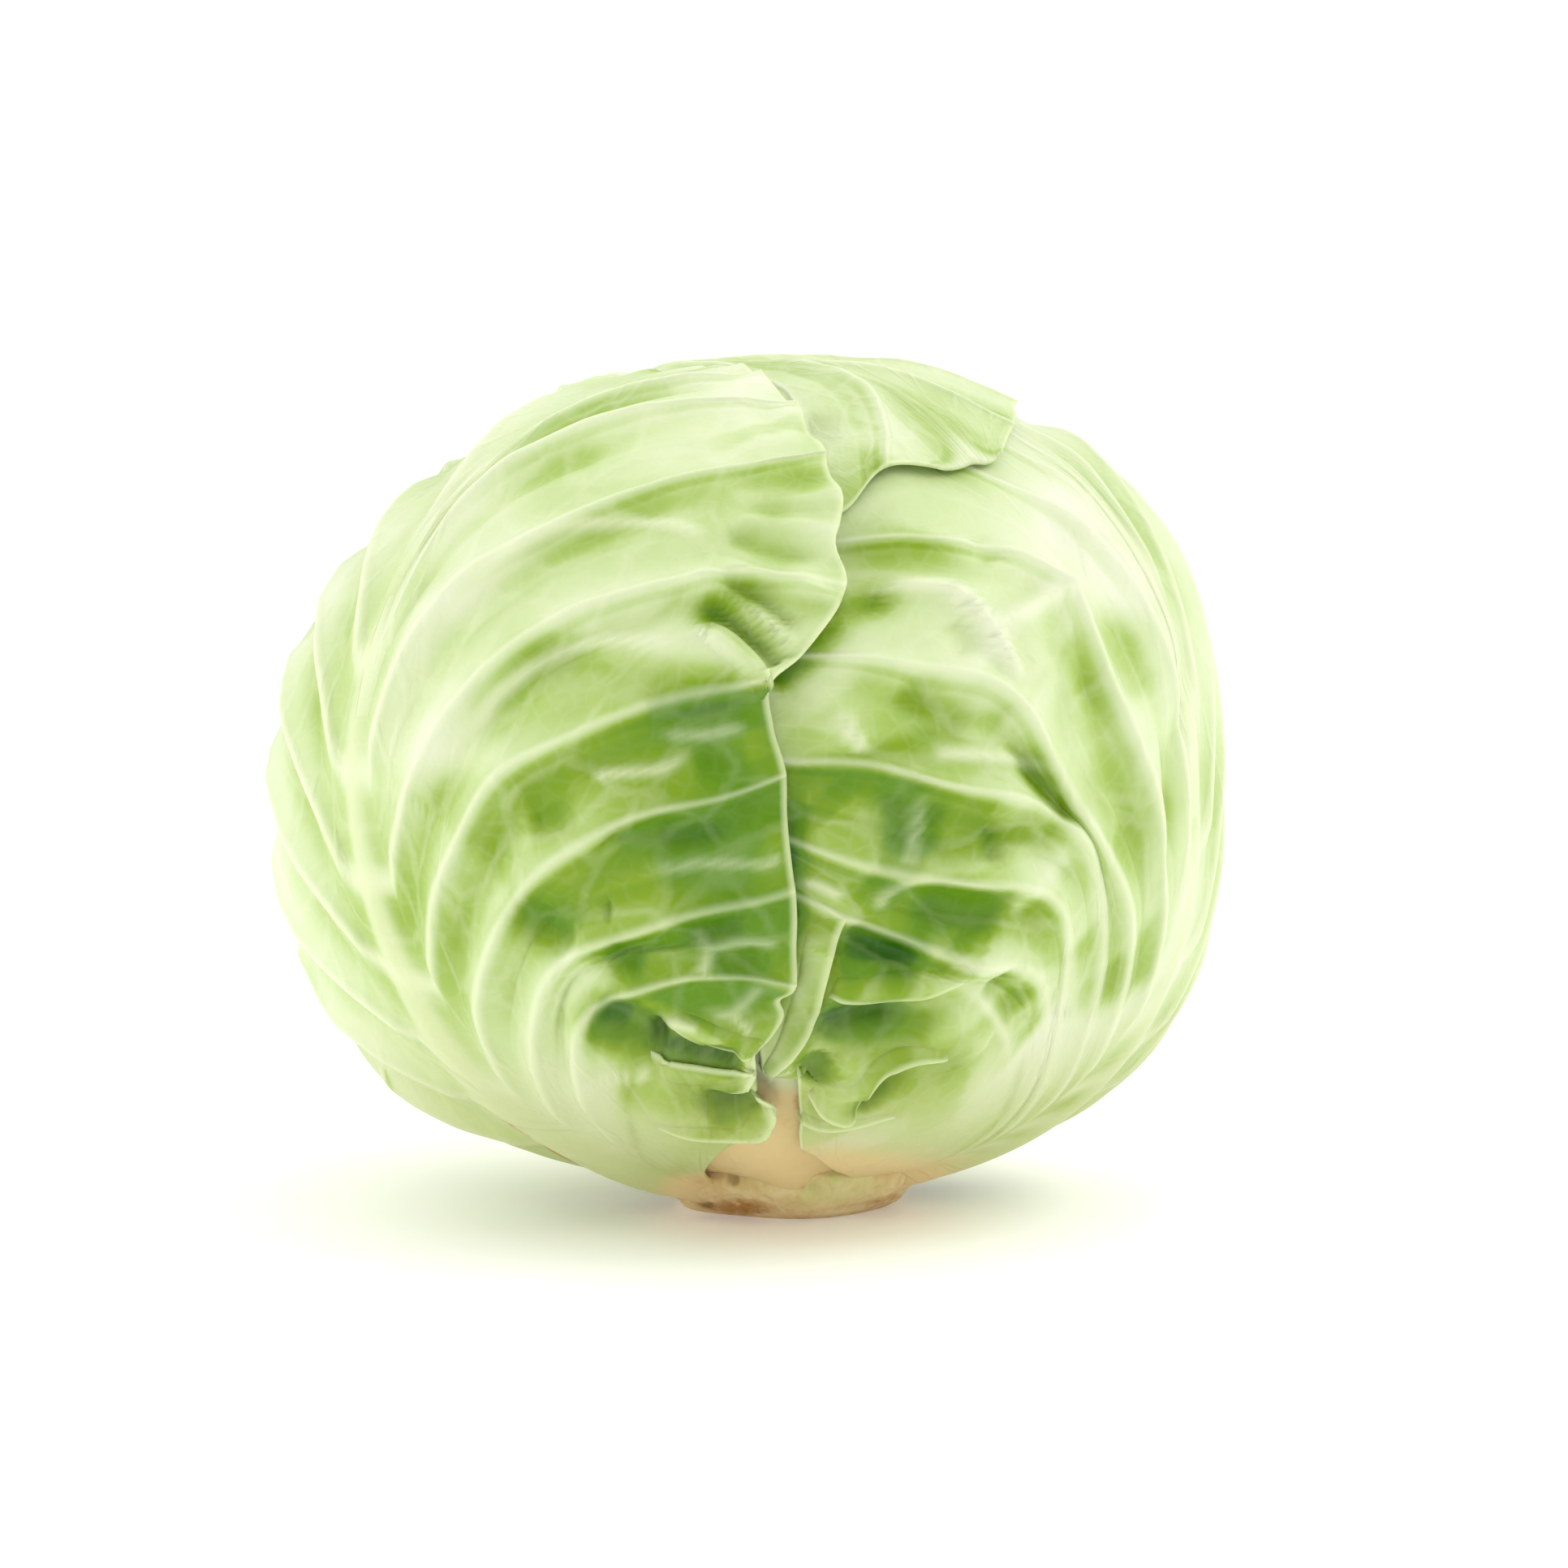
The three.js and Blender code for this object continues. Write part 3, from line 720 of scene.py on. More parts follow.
    def edge_distance(self, places: Array, steps: Array, shares: Array) -> Array:
        """Distance from the margin, measured along each row."""
        tip = np.where(shares[..., None] > 0, self.right.margin_at(steps),
                       self.left.margin_at(steps))
        return np.linalg.norm(tip - places, axis=-1)

    def reads(self, places: Array, steps: Array, shares: Array, pitch: Array, relief: Array,
              edge: Array) -> dict[str, Array]:
        """What the leaf's finish reads.

        Args:
            places: Places of the drawing.
            steps: Their steps in the net, where side veins are whole numbers.
            shares: Their signed shares of the way out.
            pitch: The distance between side veins there.
            relief: How far the blade stands out there.
            edge: The distance from the margin.

        Returns:
            The vein net: step, share and pitch. The place in the drawing. The tone: how
            green, with painted shade in hollows and below the veins and painted light on what
            stands out, how pale for a branch, and how brown. The body: how much of it is stalk,
            how near the foot or how low on the head, which is partly painted shade, and how
            fleshy. The distance from the margin.
        """
        directions = self.to_directions(places)
        green = self.drawing.paleness + self.ripples(SIZES.patches, directions)
        green = laid(self.drawing.green_shade_and_highlight, green, places)
        brown = laid(self.drawing.browner, np.zeros_like(green), places)
        # Painted shade and light: greener in the hollows of the relief, paler on what stands out.
        green = green - 0.08 * np.clip(relief, -2.5, 3.0)
        above = (np.ceil(steps) - steps) * pitch
        shade = bell(above - SIZES.shade_below, SIZES.shade_below) * smooth(above, 0, 2)
        green = green + 0.22 * shade * smooth(green, 0.15, 0.6)
        _, along, _ = path_distance(places, self.midrib)
        stalk = smooth(self.stalk_extra(places), 0.1, 1.6)
        skin = HEAD.place(directions, HEAD.radius(directions))
        # Darker and yellower low on the head: partly the leaves' own colour near the foot, partly
        # painted shade under the head.
        low = 0.75 * (1 - smooth(skin[..., 2], *SIZES.low_shade_height))
        foot = np.maximum(1 - smooth(along, 0.0, 0.2), low)
        from_flesh = np.linalg.norm(skin - np.array(SIZES.flesh_at), axis=-1)
        flesh = 1 - smooth(from_flesh, *self.drawing.flesh)
        tone = np.stack([np.clip(green, 0, 2), self.branching(places), brown], axis=-1)
        return {"net": np.stack([steps - self.drawing.plain_rows, shares, pitch], axis=-1),
                "drawing": np.stack([places[..., 0], places[..., 1], 0 * stalk], axis=-1) * 0.01,
                "tone": tone, "body": np.stack([stalk, foot, flesh], axis=-1), "edge": edge}

    def locate(self, places: Array) -> tuple[Array, Array, Array]:
        """Finds the net's step, signed share and stalk share at places of the drawing.

        The nearest of a coarse grid's places is improved by Newton's method on the net.

        Args:
            places: Places of the drawing.

        Returns:
            The steps, the signed shares, and 1 on the right half or 0 on the left.
        """
        steps = np.linspace(0.02, self.last_step - 0.02, self.SEARCH_GRID[0])
        half = np.linspace(0.01, 1, self.SEARCH_GRID[1])
        shares = np.concatenate([-half[::-1], half])
        step_grid, share_grid = (grid.ravel() for grid in np.meshgrid(steps, shares, indexing="ij"))
        coarse = self.places_on(step_grid, share_grid, (share_grid > 0).astype(float))
        flat = places.reshape(-1, 2)
        nearest = np.concatenate([
            np.linalg.norm(part[:, None] - coarse[None], axis=-1).argmin(axis=1)
            for part in np.array_split(flat, max(1, len(flat) // 400))])
        step, share = step_grid[nearest], share_grid[nearest]
        side = (share > 0).astype(float)
        for _ in range(self.SEARCH_ROUNDS):
            here = self.places_on(step, share, side)
            nudge, aside = self.SEARCH_NUDGE[0], self.SEARCH_NUDGE[1] * np.sign(share)
            by_step = (self.places_on(step + nudge, share, side) - here) / nudge
            by_share = (self.places_on(step, share + aside, side) - here) / aside[:, None]
            area = crossed(by_step, by_share)
            area = np.where(np.abs(area) < 1.0, np.where(area < 0, -1.0, 1.0), area)
            moves = crossed(flat - here, by_share) / area, crossed(by_step, flat - here) / area
            far, wide = (np.clip(move, -reach, reach)
                         for move, reach in zip(moves, self.SEARCH_REACH))
            step = np.clip(step + far, 0.0, self.last_step)
            share = np.where(side > 0, np.clip(share + wide, 0.001, 1),
                             np.clip(share + wide, -1, -0.001))
        shape = places.shape[:-1]
        return step.reshape(shape), share.reshape(shape), side.reshape(shape)

    def flap_sheet(self, flap: Flap, covering: Sequence["Leaf"]) -> Sheet:
        """A flap as a closed sheet, rising from just under the blade's outer face to its edge.

        Args:
            flap: The flap's two lines and its lift, which grows as out^curl.
            covering: The leaves that lie over this one.

        Returns:
            The sheet.
        """
        rows, columns = SIZES.flap_grid
        edge, root = smooth_path(flap.edge, rows), smooth_path(flap.root, rows)
        run, reach = edge[-1] - edge[0], (edge - root).mean(axis=0)
        ends = flap.ends
        if reach[0] * run[1] < reach[1] * run[0]:
            edge, root, ends = edge[::-1], root[::-1], ends[::-1]
        out = np.linspace(0, 1, columns - 3)[:-1] * 0.985
        out = np.concatenate([out, [0.985, 0.992, 0.997, 1.0]])
        places = root[:, None] + (edge - root)[:, None] * out[None, :, None]
        steps, shares, across = self.locate(places)
        pitch = self.vein_pitch(steps, shares, across)
        directions, radius, free, relief = self.surface(places, steps, shares, pitch, covering)
        rib = self.rib(steps, shares, pitch)
        extra = self.stalk_extra(places) * SIZES.stalk_outward
        fade = fade_at_ends(np.linspace(0, 1, rows)[:, None], ends)
        sunk = 2 - smooth(out[None], 0.0, 0.35) - smooth(fade, 0.0, 0.3)
        rise = flap.lift * fade * out[None] ** flap.curl - SIZES.flap_sink * sunk
        skin = radius + free * (relief + rib + extra) + rise
        to_edge = np.linalg.norm(edge[:, None] - places, axis=-1)
        body = np.minimum(smooth(out[None], 0.0, 0.3), fade)
        thick = SIZES.blade * rounded(to_edge) * (0.25 + 0.75 * body)
        reads = self.reads(places, steps, shares, pitch, relief * free, to_edge)
        reads["body"][..., 2] = 0.0
        middle = skin - 0.5 * SIZES.blade
        return Sheet(HEAD.place(directions, middle + 0.5 * thick),
                     HEAD.place(directions, middle - 0.5 * thick), reads)


def skin_under(directions: Array, covering: Sequence[Leaf]) -> tuple[Array, Array]:
    """The head's skin under some leaves.

    Args:
        directions: Directions from the head's centre.
        covering: The leaves, each of which presses the skin in.

    Returns:
        The skin's radius, and how free it is to stand out.
    """
    radius, free = HEAD.radius(directions), np.ones(directions.shape[:-1])
    for leaf in covering:
        cover, depth = leaf.press(directions)
        radius = radius - cover * depth
        free = np.minimum(free, 1 - cover)
    return radius, free


# ---- The leaves' drawings -----------------------------------------------------------------

def path(words: str) -> Row:
    """Places, written as x,y with spaces between."""
    return tuple(tuple(float(number) for number in word.split(",")) for word in words.split())


def paths(table: str) -> tuple[Row, ...]:
    """Paths, with semicolons between."""
    return tuple(path(words) for words in table.split(";"))


def entries(table: str) -> Iterator[tuple[list[float], list[Row]]]:
    """The numbers and the paths of each entry, written as numbers: path: path; and so on."""
    for entry in table.split(";"):
        numbers, *drawn = entry.split(":")
        yield [float(number) for number in numbers.split()], [path(words) for words in drawn]


def strokes(table: str) -> tuple[Stroke, ...]:
    """Strokes: an amount, a width and, where they aren't 0.2, the two ends' fades; a path."""
    return tuple(Stroke(drawn, amount, width, tuple(ends) or (0.2, 0.2))
                 for (amount, width, *ends), (drawn,) in entries(table))


def flaps(table: str) -> tuple[Flap, ...]:
    """Flaps: a lift, the two ends' fades and a curl; the edge; the root."""
    return tuple(Flap(edge, root, lift, (first, last), curl)
                 for (lift, first, last, curl), (edge, root) in entries(table))


LEFT_LEAF = Drawing(
    name="leaf_left", azimuth=-50, elevation=5, fold=1.4, seed=11, crumple=0.35, rib_height=1.5,
    flesh=(12, 34), paleness=0.3,
    right=paths("""
    24,-118 34,-98 55,-82; 28,-97 44,-77 69,-62; 30,-82 34,-62 43,-43 61,-38 81,-39;
    24,-72 30,-50 41,-32 62,-25.5 84,-20; 19,-62 23,-40 38,-17 60,-5 81,4;
    14,-38 20,-20 32,-1 53,13 76,22; 9,-20 17,2 35,26 58,40 83,43; 4,-2 10,42 68,77; 2,18 1,74 50,94;
    1,45 5,92 32,105; 0.4,114 8,114 16,112"""),
    left=paths("""
    8,-122 -12,-108 -34,-98; 10,-98 -22,-80 -60,-76; 8,-80 -26,-64 -76,-56; 5,-64 -24,-46 -84,-34;
    3,-49 -22,-28 -87,-12; 1,-34 -20,-10 -87,8; -2,-20 -18,10 -84,30; -4,-2 -18,34 -77,50;
    -2,16 -16,56 -66,70; -1,45 -10,86 -36,97; -0.4,114 -8,113 -16,110"""),
    right_margin=path("""
    55,-82 60,-80.5 64,-78 67,-75 68.5,-72 68,-69 66,-66 66.5,-63 69,-59 70.5,-54 74.5,-50 77.5,-46
    77.5,-42.5 80.5,-40 82,-33 83,-21 82,-8 81,4 78,13 76,21 80,28 83,36 84,42 83,48 79,53 78,59
    76,65 70,73 65,81 54,92 50,95 32,105 16,112"""),
    relief=strokes("""
    2.2 3 0.3 0.1: 61,31 65,30 69,27 72,25 76,19; -3 2.7 0.3 0.02: 58,35.5 63,35 68,32 72,29 76,25;
    2.4 2.6 0.3 0.1: 53,41 60,39.5 64,37.5 69,35.5 74,32 79,28;
    1.6 1.5 0.4 0.05: 57,45 63,44 68,43 75,42 84,41; -1.8 1.7 0.3 0.2: 60,41 66,39.5 72,37 79,33;
    1.4 1.6 0.4 0.05: 59,49 62,54 69,55 79,56; -1.6 2 0.3 0.2: 59,51 63,50 70,49 80,49;
    1.1 1.5 0.4 0.05: 56,60 63,60 70,62 76,65; -3.6 4.6 0.3 0.2: 43,-40 47,-44 51,-49 55,-51;
    -2.8 2.6 0.1 0.1: 51,-51.5 55,-51.5 60,-54 68,-56; -3 3 0.25 0.02: 54,-70 58,-68 62,-68 66,-68;
    1.2 3.4: 43,-68 50,-71 58,-74 63,-74; -0.9 3: 56,14 62,15 70,18; -0.8 3: 66,6 72,6;
    -1.4 2.6: 49,-11 57,-8 64,-9 75,-6; -0.7 4: 60,-16 70,-18 77,-10; -1.6 3: 34,-22 39,-27 44,-30;
    -1.2 3: 37,-8 44,-6; -1.2 1.6: 49,-23 51,-23; -1.2 2.2: 62,-28 74,-27; -1 2: 66,-33.5 76,-33.5;
    -1.2 2.6: 49,-31 55,-33; 0.9 2: 51,-10 53,-12; 0.8 1.8: 60,30 63,30"""),
    # Deeper green is partly the leaf's own and partly painted shade: in the slit, in the hollows under
    # the lobes and in the pleat's valley. Negative amounts are paler places.
    green_shade_and_highlight=strokes("""
    0.5 38 0.1 0.1: 72,26 70,0 66,-30 54,-44; 0.2 18: 56,74 64,50 68,30; 0.24 3.6: 55,13 62,15 75,17;
    0.2 5: 64,5 75,7; 0.24 5: 57,-9 68,-9 79,-6; 0.12 6: 58,-17 77,-14; 0.3 5: 33,-20 38,-26 44,-30;
    0.22 5: 36,-8 46,-5; 0.2 4: 60,-28 76,-26; 0.2 3: 66,-34 78,-34; 0.2 4: 48,-31 56,-34;
    0.3 2: 50,-23 51,-23; 0.42 7 0.2 0.2: 41,-39 46,-45 54,-52; 0.75 3 0.2 0.1: 49,-51 56,-53 68,-58;
    0.25 6: 50,-60 60,-63 67,-64; 0.2 5: 55,-75 66,-72; 0.65 3.4: 56,-68 67,-67;
    0.4 3: 59,35 68,32 76,26; 0.08 14: 58,60 66,70 56,86; -0.2 13: 20,76 28,68 38,54;
    0.2 9: 48,84 54,80; -0.24 14: 12,34 20,14 24,-4; 0.5 6: 44,-42 50,-46; 0.32 9: 40,-60 50,-66 62,-74;
    0.4 2.2 0.1 0.1: 52,-52.5 58,-54.5 66,-57; 0.5 2: -27,-62 -26,-67 -22,-70; -0.14 7: 72,12 76,6"""),
    browner=strokes("""
    0.7 3: 11,-68 13,-75; 1 1.6: 13,-73 11,-80 8,-88 5,-97; 0.4 2.5: 34,-100 26,-110"""),
    branches=paths("""
    56,10 64,10 68,11 74,13; 65,10 62,5 58,3 52,2 47,1; 55,-15 63,-15 67,-14 78,-14 80,-11;
    64,-27 67,-31 73,-30 80,-31; 67,-31 65,-36; 62,-44 68,-45 72,-42 75,-39; 68,-45 71,-49;
    52,-47 57,-47 62,-48; 34,-62 39,-59 45,-59 50,-57; 24,2 30,14 44,25 60,27;
    12,20 28,42 44,50 58,50"""),
    flaps=flaps("""
    0.9 0.4 0.03 1.6: 60,33 64,32.2 68,30.5 72,27.5 74.5,25 76.5,21: 59,27 62,25.5 66,23.5 69,21.5
        71.5,19 75,16.5;
    1.5 0.35 0.02 1.6: 48,-53.5 53,-55 57,-56.3 62,-57.8 69,-59: 47,-61 52,-63 56,-64 61,-65 67,-66;
    1.6 0.02 0.4 1.6: 69,-59.5 67,-62.5 64.5,-65 61,-66.2 57,-66.5: 66,-57 63,-58.5 60,-60 57,-61
        54,-61.5;
    1.3 0.4 0.1 1.2: 53,-48 56,-48.5 58,-50.5 61,-53.5 65,-55.5 69.5,-56: 56,-42 60,-43 64,-45
        68,-47 71.5,-48.5 74.5,-49.5;
    1.8 0.1 0.4 1.6: 68.3,-70 68,-73 65.5,-77 62,-80 57,-80 52,-79 47,-77.5 43,-74.5 40,-71: 62,-70
        61.5,-72 60,-73.5 58,-74.5 55,-74 51,-73 47,-71.5 44,-69.5 41,-67"""),
)

BACK_LEAF = Drawing(
    name="leaf_back", azimuth=-138, elevation=25, fold=0.9, seed=21, crumple=0.4, margin_lift=0.7,
    paleness=0.32,
    green_shade_and_highlight=strokes("""
    0.26 12: 30,158 52,156 66,140; -0.1 9: 14,150 26,149"""),
    right=paths("""
    11,-151 50,-132 76,-106; 12,-128 40,-96 92,-78; 10,-104 34,-62 102,-46; 8,-80 30,-30 108,-10;
    7,-54 26,4 110,26; 6,-26 22,40 108,62; 4,4 18,74 102,98; 2,36 14,106 90,128; 1,70 10,136 66,152;
    1,110 8,150 38,157; 3.4,165 11,166 20,164"""),
    left=paths("""
    -33,-151 -60,-134 -84,-108; -18,-128 -44,-98 -98,-80; -13,-104 -36,-64 -108,-46;
    -10,-80 -30,-32 -112,-12; -8,-54 -26,2 -110,24; -6,-26 -22,36 -102,58; -4,4 -16,68 -86,88;
    -2,36 -11,98 -66,112; -1,70 -8,126 -46,136; 0,110 -5,148 -28,153; 2.6,165 -4,166 -10,164"""),
)

RIGHT_LEAF = Drawing(
    name="leaf_right", azimuth=65, elevation=5, fold=1.3, seed=31, crumple=0.35, rib_height=1.7,
    flesh=(16, 48), paleness=0.24, plain_rows=2,
    right=paths("""
    8,-109 26,-98 44,-88; 9.5,-104 30,-87 54,-78; 11,-99 34,-76 64,-68; 12,-90 34,-56 78,-48;
    12,-80 32,-36 86,-28; 11,-68 30,-16 90,-6; 9,-54 28,6 90,18; 7,-38 24,30 84,44; 4,-18 18,54 72,68;
    1,6 10,78 54,90; -1,32 4,94 31,102; -1.6,114 4,114 10,112"""),
    left=paths("""
    -16,-109 -38,-100 -60,-88; -17,-101 -42,-84 -76,-65; -17,-95 -30,-68 -43,-49 -62,-41.5 -88,-44;
    -16.5,-90 -27,-57 -38,-38.5 -60,-32 -90,-19; -15,-83 -28,-48 -41,-23 -69,-17 -93,-7;
    -13,-75 -25,-36 -35,-12.5 -61,-0.5 -94,9; -11,-64 -22.5,-27 -40,-2 -53,18.5 -91,34;
    -8,-50 -15.5,-16 -26,11 -33,38 -79,55; -4,-26 -8,62 -62,90; -3,0 -6,84 -42,104; -3,30 -5,95 -25,107;
    -2.4,114 -6,114 -11,113"""),
    left_margin=path("""
    -60,-88 -64,-83 -67,-78 -70,-73.5 -73,-68.5 -75.5,-64 -77.5,-60.5 -79,-64 -81,-66 -83.5,-62
    -86,-56 -88,-44 -90,-32 -91,-19 -93,-7 -94,9 -93,21 -91,34 -86,45 -79,55 -72,74 -62,90 -42,104
    -25,107 -11,113"""),
    relief=strokes("""
    2 2 0.3 0.1: -69,41 -60,38 -52,35 -48,26 -46,15; 1.4 2 0.1 0.2: -47,27 -40,28 -31,31 -26,31;
    0.7 1.8: -78,17 -77,12 -75,7; -3.6 2.8 0.1 0.4: -74,37 -67,37 -61,36;
    -1.8 4.5: -67,20 -62,14 -55,10; -1 3: -54,30 -53,22; -1.6 2.4: -71,0 -70,-6 -70,-12;
    0.8 2: -66,0 -66,-10; 0.8 2.2: -60,-2 -61,-6 -63,-12; -1.6 1.7: -53,-8 -53,-15;
    -2 2.6 0.4 0.15: -49,9 -47,4 -44,-2 -41,-6 -37,-10; -1.2 2.4: -57,-6 -48,-10 -40,-12;
    -1.3 3 0.4 0.4: -33,26 -32,16 -30.5,9 -27,2 -22,-7; -0.9 4.5: -23,28 -21,19 -20,8;
    -1.4 3.2: -42,44 -40,38; 1.1 1.9 0.2 0.3: -73,-24 -72,-20 -67,-16.5 -58,-15.5 -50,-17;
    -1.5 3.6: -67,-21.5 -58,-23 -48,-25; -1.1 2.2: -64,-3 -65,-13;
    -3.8 3.4 0.2 0.3: -79,-28 -71,-31 -63,-35; 1.8 2.6 0.1 0.3: -80,-40 -66,-39.5 -56,-36 -47,-32;
    -3.6 3 0.2 0.4: -77,-51 -74,-47 -66,-44.8 -58,-42.5; -2.4 3.2: -49,-36 -44,-40 -39,-45;
    -3 3.2: -75,-63 -74,-59 -72,-56; -3 2.8: -59,-71 -59.5,-64 -57,-58; 2.6 5: -60,-46 -51,-49 -43,-50;
    1.8 4: -72,-54 -66,-60 -63,-67; -1.6 3.2 0.3 0.3: 4,22 -4,9 -10,0 -13,-14 -15,-30"""),
    # Deeper green is partly the leaf's own and partly painted shade: beside the left leaf's overlapping
    # margin, in the recesses under the flaps and in the dark hollows. Negative amounts are paler
    # places, one of them a painted highlight on a crest.
    green_shade_and_highlight=strokes("""
    0.36 24 0.05 0.1: -80,10 -77,-10 -74,-34 -62,-56 -42,-50; 0.22 8: -68,52 -57,46 -50,50;
    0.25 6: -76,50 -72,44; 0.5 3.6 0.05 0.5: -75,36.5 -66,37 -58,38;
    0.7 3 0.3 0.1: -72,36 -79,30.5 -89,24; 0.24 9 0.05 0.3: -92,15 -80,12 -68,12 -57,8;
    0.14 7: -50,22 -44,12; 0.22 3.6: -70,3 -70,-14; 0.18 2.8: -64,-2 -65,-14; 0.2 6: -84,0 -80,-4;
    -0.1 5: -54,-6 -48,-8; 0.2 1.9: -53,-9 -53,-16; -0.14 3.2: -50,-13.5 -38,-18;
    0.2 2.6: -47,5 -43,-3 -38,-10; -0.2 11: -22,50 -14,36 -10,22; 0.26 5: -68,-21 -58,-23 -47,-25;
    0.18 4: -58,-28 -55,-31; 0.56 4.4: -80,-33 -70,-33 -62,-33; 0.12 6 0.4 0.4: -10,-10 -10,-28 -14,-46;
    0.16 11: -22,-32 -12,-42; -0.12 8: -42,8 -26,6 -13,2 -12,-10; 0.22 8: -74,-12 -66,-16;
    0.2 9: -34,-30 -26,-36 -20,-46; 0.08 7: -20,26 -15,10;
    -0.12 4 0.4 0.1: -84,-20 -83,-35 -82.5,-50 -81,-62;
    0.9 2.4 0.3 0.1: -87,6 -88.5,-10 -87.5,-25 -87,-46; 0.4 9: -46,-40 -40,-47 -32,-50;
    0.3 6: -47,-21 -41,-29 -37,-38; 0.1 12: -30,-8 -24,-26 -22,-46; 0.14 8: -68,-64 -58,-61 -46,-62;
    0.5 4.6: -78,-50 -73,-46 -62,-43.5; 0.22 4.5: -49,-36 -39,-45; 0.55 4: -76,-62 -73,-57;
    0.07 7: -23,28 -20,8; 0.08 5: -34,24 -28,4; 0.45 3: -60,-71 -59,-62;
    0.2 2.5 0.3 0.2: -75,-30 -75.5,-40 -75,-52; -0.25 8: -58,-82 -46,-84"""),
    branches=paths("""
    -78,17 -77,12 -75,7; -47,27 -40,28 -31,31 -26,31; -69,41 -60,38 -52,35 -48,26 -46,15;
    -73,-24 -72,-20 -67,-16.5; -55,-38 -50,-41 -44,-46 -39,-51 -36,-56; -40,0 -52,4 -64,6;
    -88,-18 -83,-19 -79,-21; -66,0 -67,-9 -69,-15"""),
    flaps=flaps("""
    1.6 0.1 0.5 1.6: -78.5,-42.5 -72,-42.3 -66,-41.5 -61,-40.5 -56,-37.5 -51,-35: -79,-36 -73,-35
        -67,-34 -62,-33.5 -57,-31.5 -51,-30;
    2.2 0.35 0.05 1.6: -77,-22 -78.5,-27 -79,-33 -79,-40 -78.5,-48 -79,-56 -81,-66.5: -86,-21
        -86,-28 -85.5,-35 -85,-41 -85,-47 -84,-54 -83,-64;
    2.4 0.12 0.3 1.6: -73,-67 -67.5,-71.5 -64,-73 -60.5,-72.5 -61.5,-67 -62.5,-61 -60.5,-57.5
        -57,-55 -52,-54.5 -47,-54.5: -75,-58 -71,-59 -69,-59.5 -67.5,-58 -66.5,-56 -65,-54
        -62,-51.5 -58,-50 -53,-50 -48,-51;
    1 0.05 0.5 1.6: -67.5,-78 -64,-78.7 -60,-77.7 -56,-75.5 -51,-72.5 -45,-70: -69.5,-74
        -65.5,-74.5 -61,-73.5 -57,-71.5 -52,-69 -46,-67"""),
)

PLAIN_ROWS = 7
PLAIN_REACH = 84.0
PLAIN_TIP = 104.0
PLAIN_STALK = 13.0


def plain_rows(base: Point, side: int) -> tuple[Row, ...]:
    """One half of a leaf that is all but hidden: its margin follows sin(pi s)^0.7."""
    rows = []
    for along in np.linspace(0, 1, PLAIN_ROWS):
        stalk = max(PLAIN_STALK * (1 - along) ** 1.5, 0.4)
        root_y = base[1] + (PLAIN_TIP - base[1]) * along ** 1.4
        root = (base[0] * (1 - along) + side * stalk, root_y)
        reach = math.sin(math.pi * (0.2 + 0.76 * along)) ** 0.7
        margin_y = (base[1] + 20) * (1 - along) + (PLAIN_TIP - 2) * along
        margin = (side * PLAIN_REACH * reach, margin_y)
        bend = (0.65 * root[0] + 0.35 * margin[0], 0.2 * root[1] + 0.8 * margin[1])
        rows.append((root, bend, margin))
    return tuple(rows)


def plain_leaf(name: str, azimuth: float, elevation: float, base: Point, seed: int,
               **others: Any) -> Drawing:
    """A leaf that only shows as slivers between others."""
    return Drawing(name=name, azimuth=azimuth, elevation=elevation, seed=seed, fold=0.6,
                   right=plain_rows(base, 1), left=plain_rows(base, -1), **others)


INNER_LEAVES = (
    plain_leaf("leaf_inner_left", -100, 0, (-2, -116), 41),
    plain_leaf("leaf_inner_right", 155, 5, (-10, -112), 51),
    plain_leaf("leaf_inner_front", 5, 0, (11, -107), 61, flesh=(42, 56), paleness=0.14,
               browner=(Stroke(((5, -55), (5.5, -60), (5, -63)), 0.6, 2.6, (0.3, 0.3)),
                        Stroke(((1, -64), (5, -70)), 0.3, 5.0, (0.1, 0.1)))),
)


# ---- Heart and stem -----------------------------------------------------------------------

def rings_object(name: str, rings: Array, bottom: Array, top: Array,
                 reads: dict[str, Array]) -> bpy.types.Object:
    """Closes rings of places, lowest first, with a fan at each end.

    Args:
        name: The piece's name.
        rings: Places, as rings by sectors by 3; sectors run anticlockwise seen from above.
        bottom: The middle of the lowest ring.
        top: The middle of the highest ring.
        reads: What the finish reads, as rings by sectors by numbers, by name.

    Returns:
        The new object.
    """
    count, sectors = rings.shape[:2]
    numbers = np.arange(count * sectors).reshape(count, sectors)
    after = np.roll(numbers, -1, axis=1)
    sides = np.stack([numbers[:-1], after[:-1], after[1:], numbers[1:]], axis=-1).reshape(-1, 4)
    low, high = np.full(sectors, count * sectors), np.full(sectors, count * sectors + 1)
    floor = np.stack([after[0], numbers[0], low, low], axis=-1)
    crown = np.stack([numbers[-1], after[-1], high, high], axis=-1)
    places = np.vstack([rings.reshape(-1, 3), bottom, top])
    joined = {key: np.vstack([values.reshape(count * sectors, -1), values[0].mean(axis=0),
                              values[-1].mean(axis=0)]) for key, values in reads.items()}
    return mesh_object(name, places, np.concatenate([sides, floor, crown]), joined)


class Stain(Enum):
    """What a mark on the stem is stained with."""

    BROWN = 0
    GREEN = 1
    DARK = 2


@dataclass(frozen=True)
class Mark:
    """A stained place on the stem's flank, raised or sunk; across is from the front's middle."""

    stain: Stain
    across: float
    height: float
    size: Point
    rise: float
    strength: float

    def at(self, across: Array, height: Array) -> Array:
        """exp(-u^4) for the elliptic distance u from the mark's middle."""
        aside, above = (across - self.across) / self.size[0], (height - self.height) / self.size[1]
        return np.exp(-(aside ** 2 + above ** 2) ** 2)


def marks(table: str) -> tuple[Mark, ...]:
    """Marks: a stain, its place across and up, its size across and up, its rise, its strength."""
    found = []
    for entry in table.split(";"):
        stain, *numbers = entry.split()
        across, height, wide, tall, rise, strength = (float(number) for number in numbers)
        found.append(Mark(Stain[stain.upper()], across, height, (wide, tall), rise, strength))
    return tuple(found)


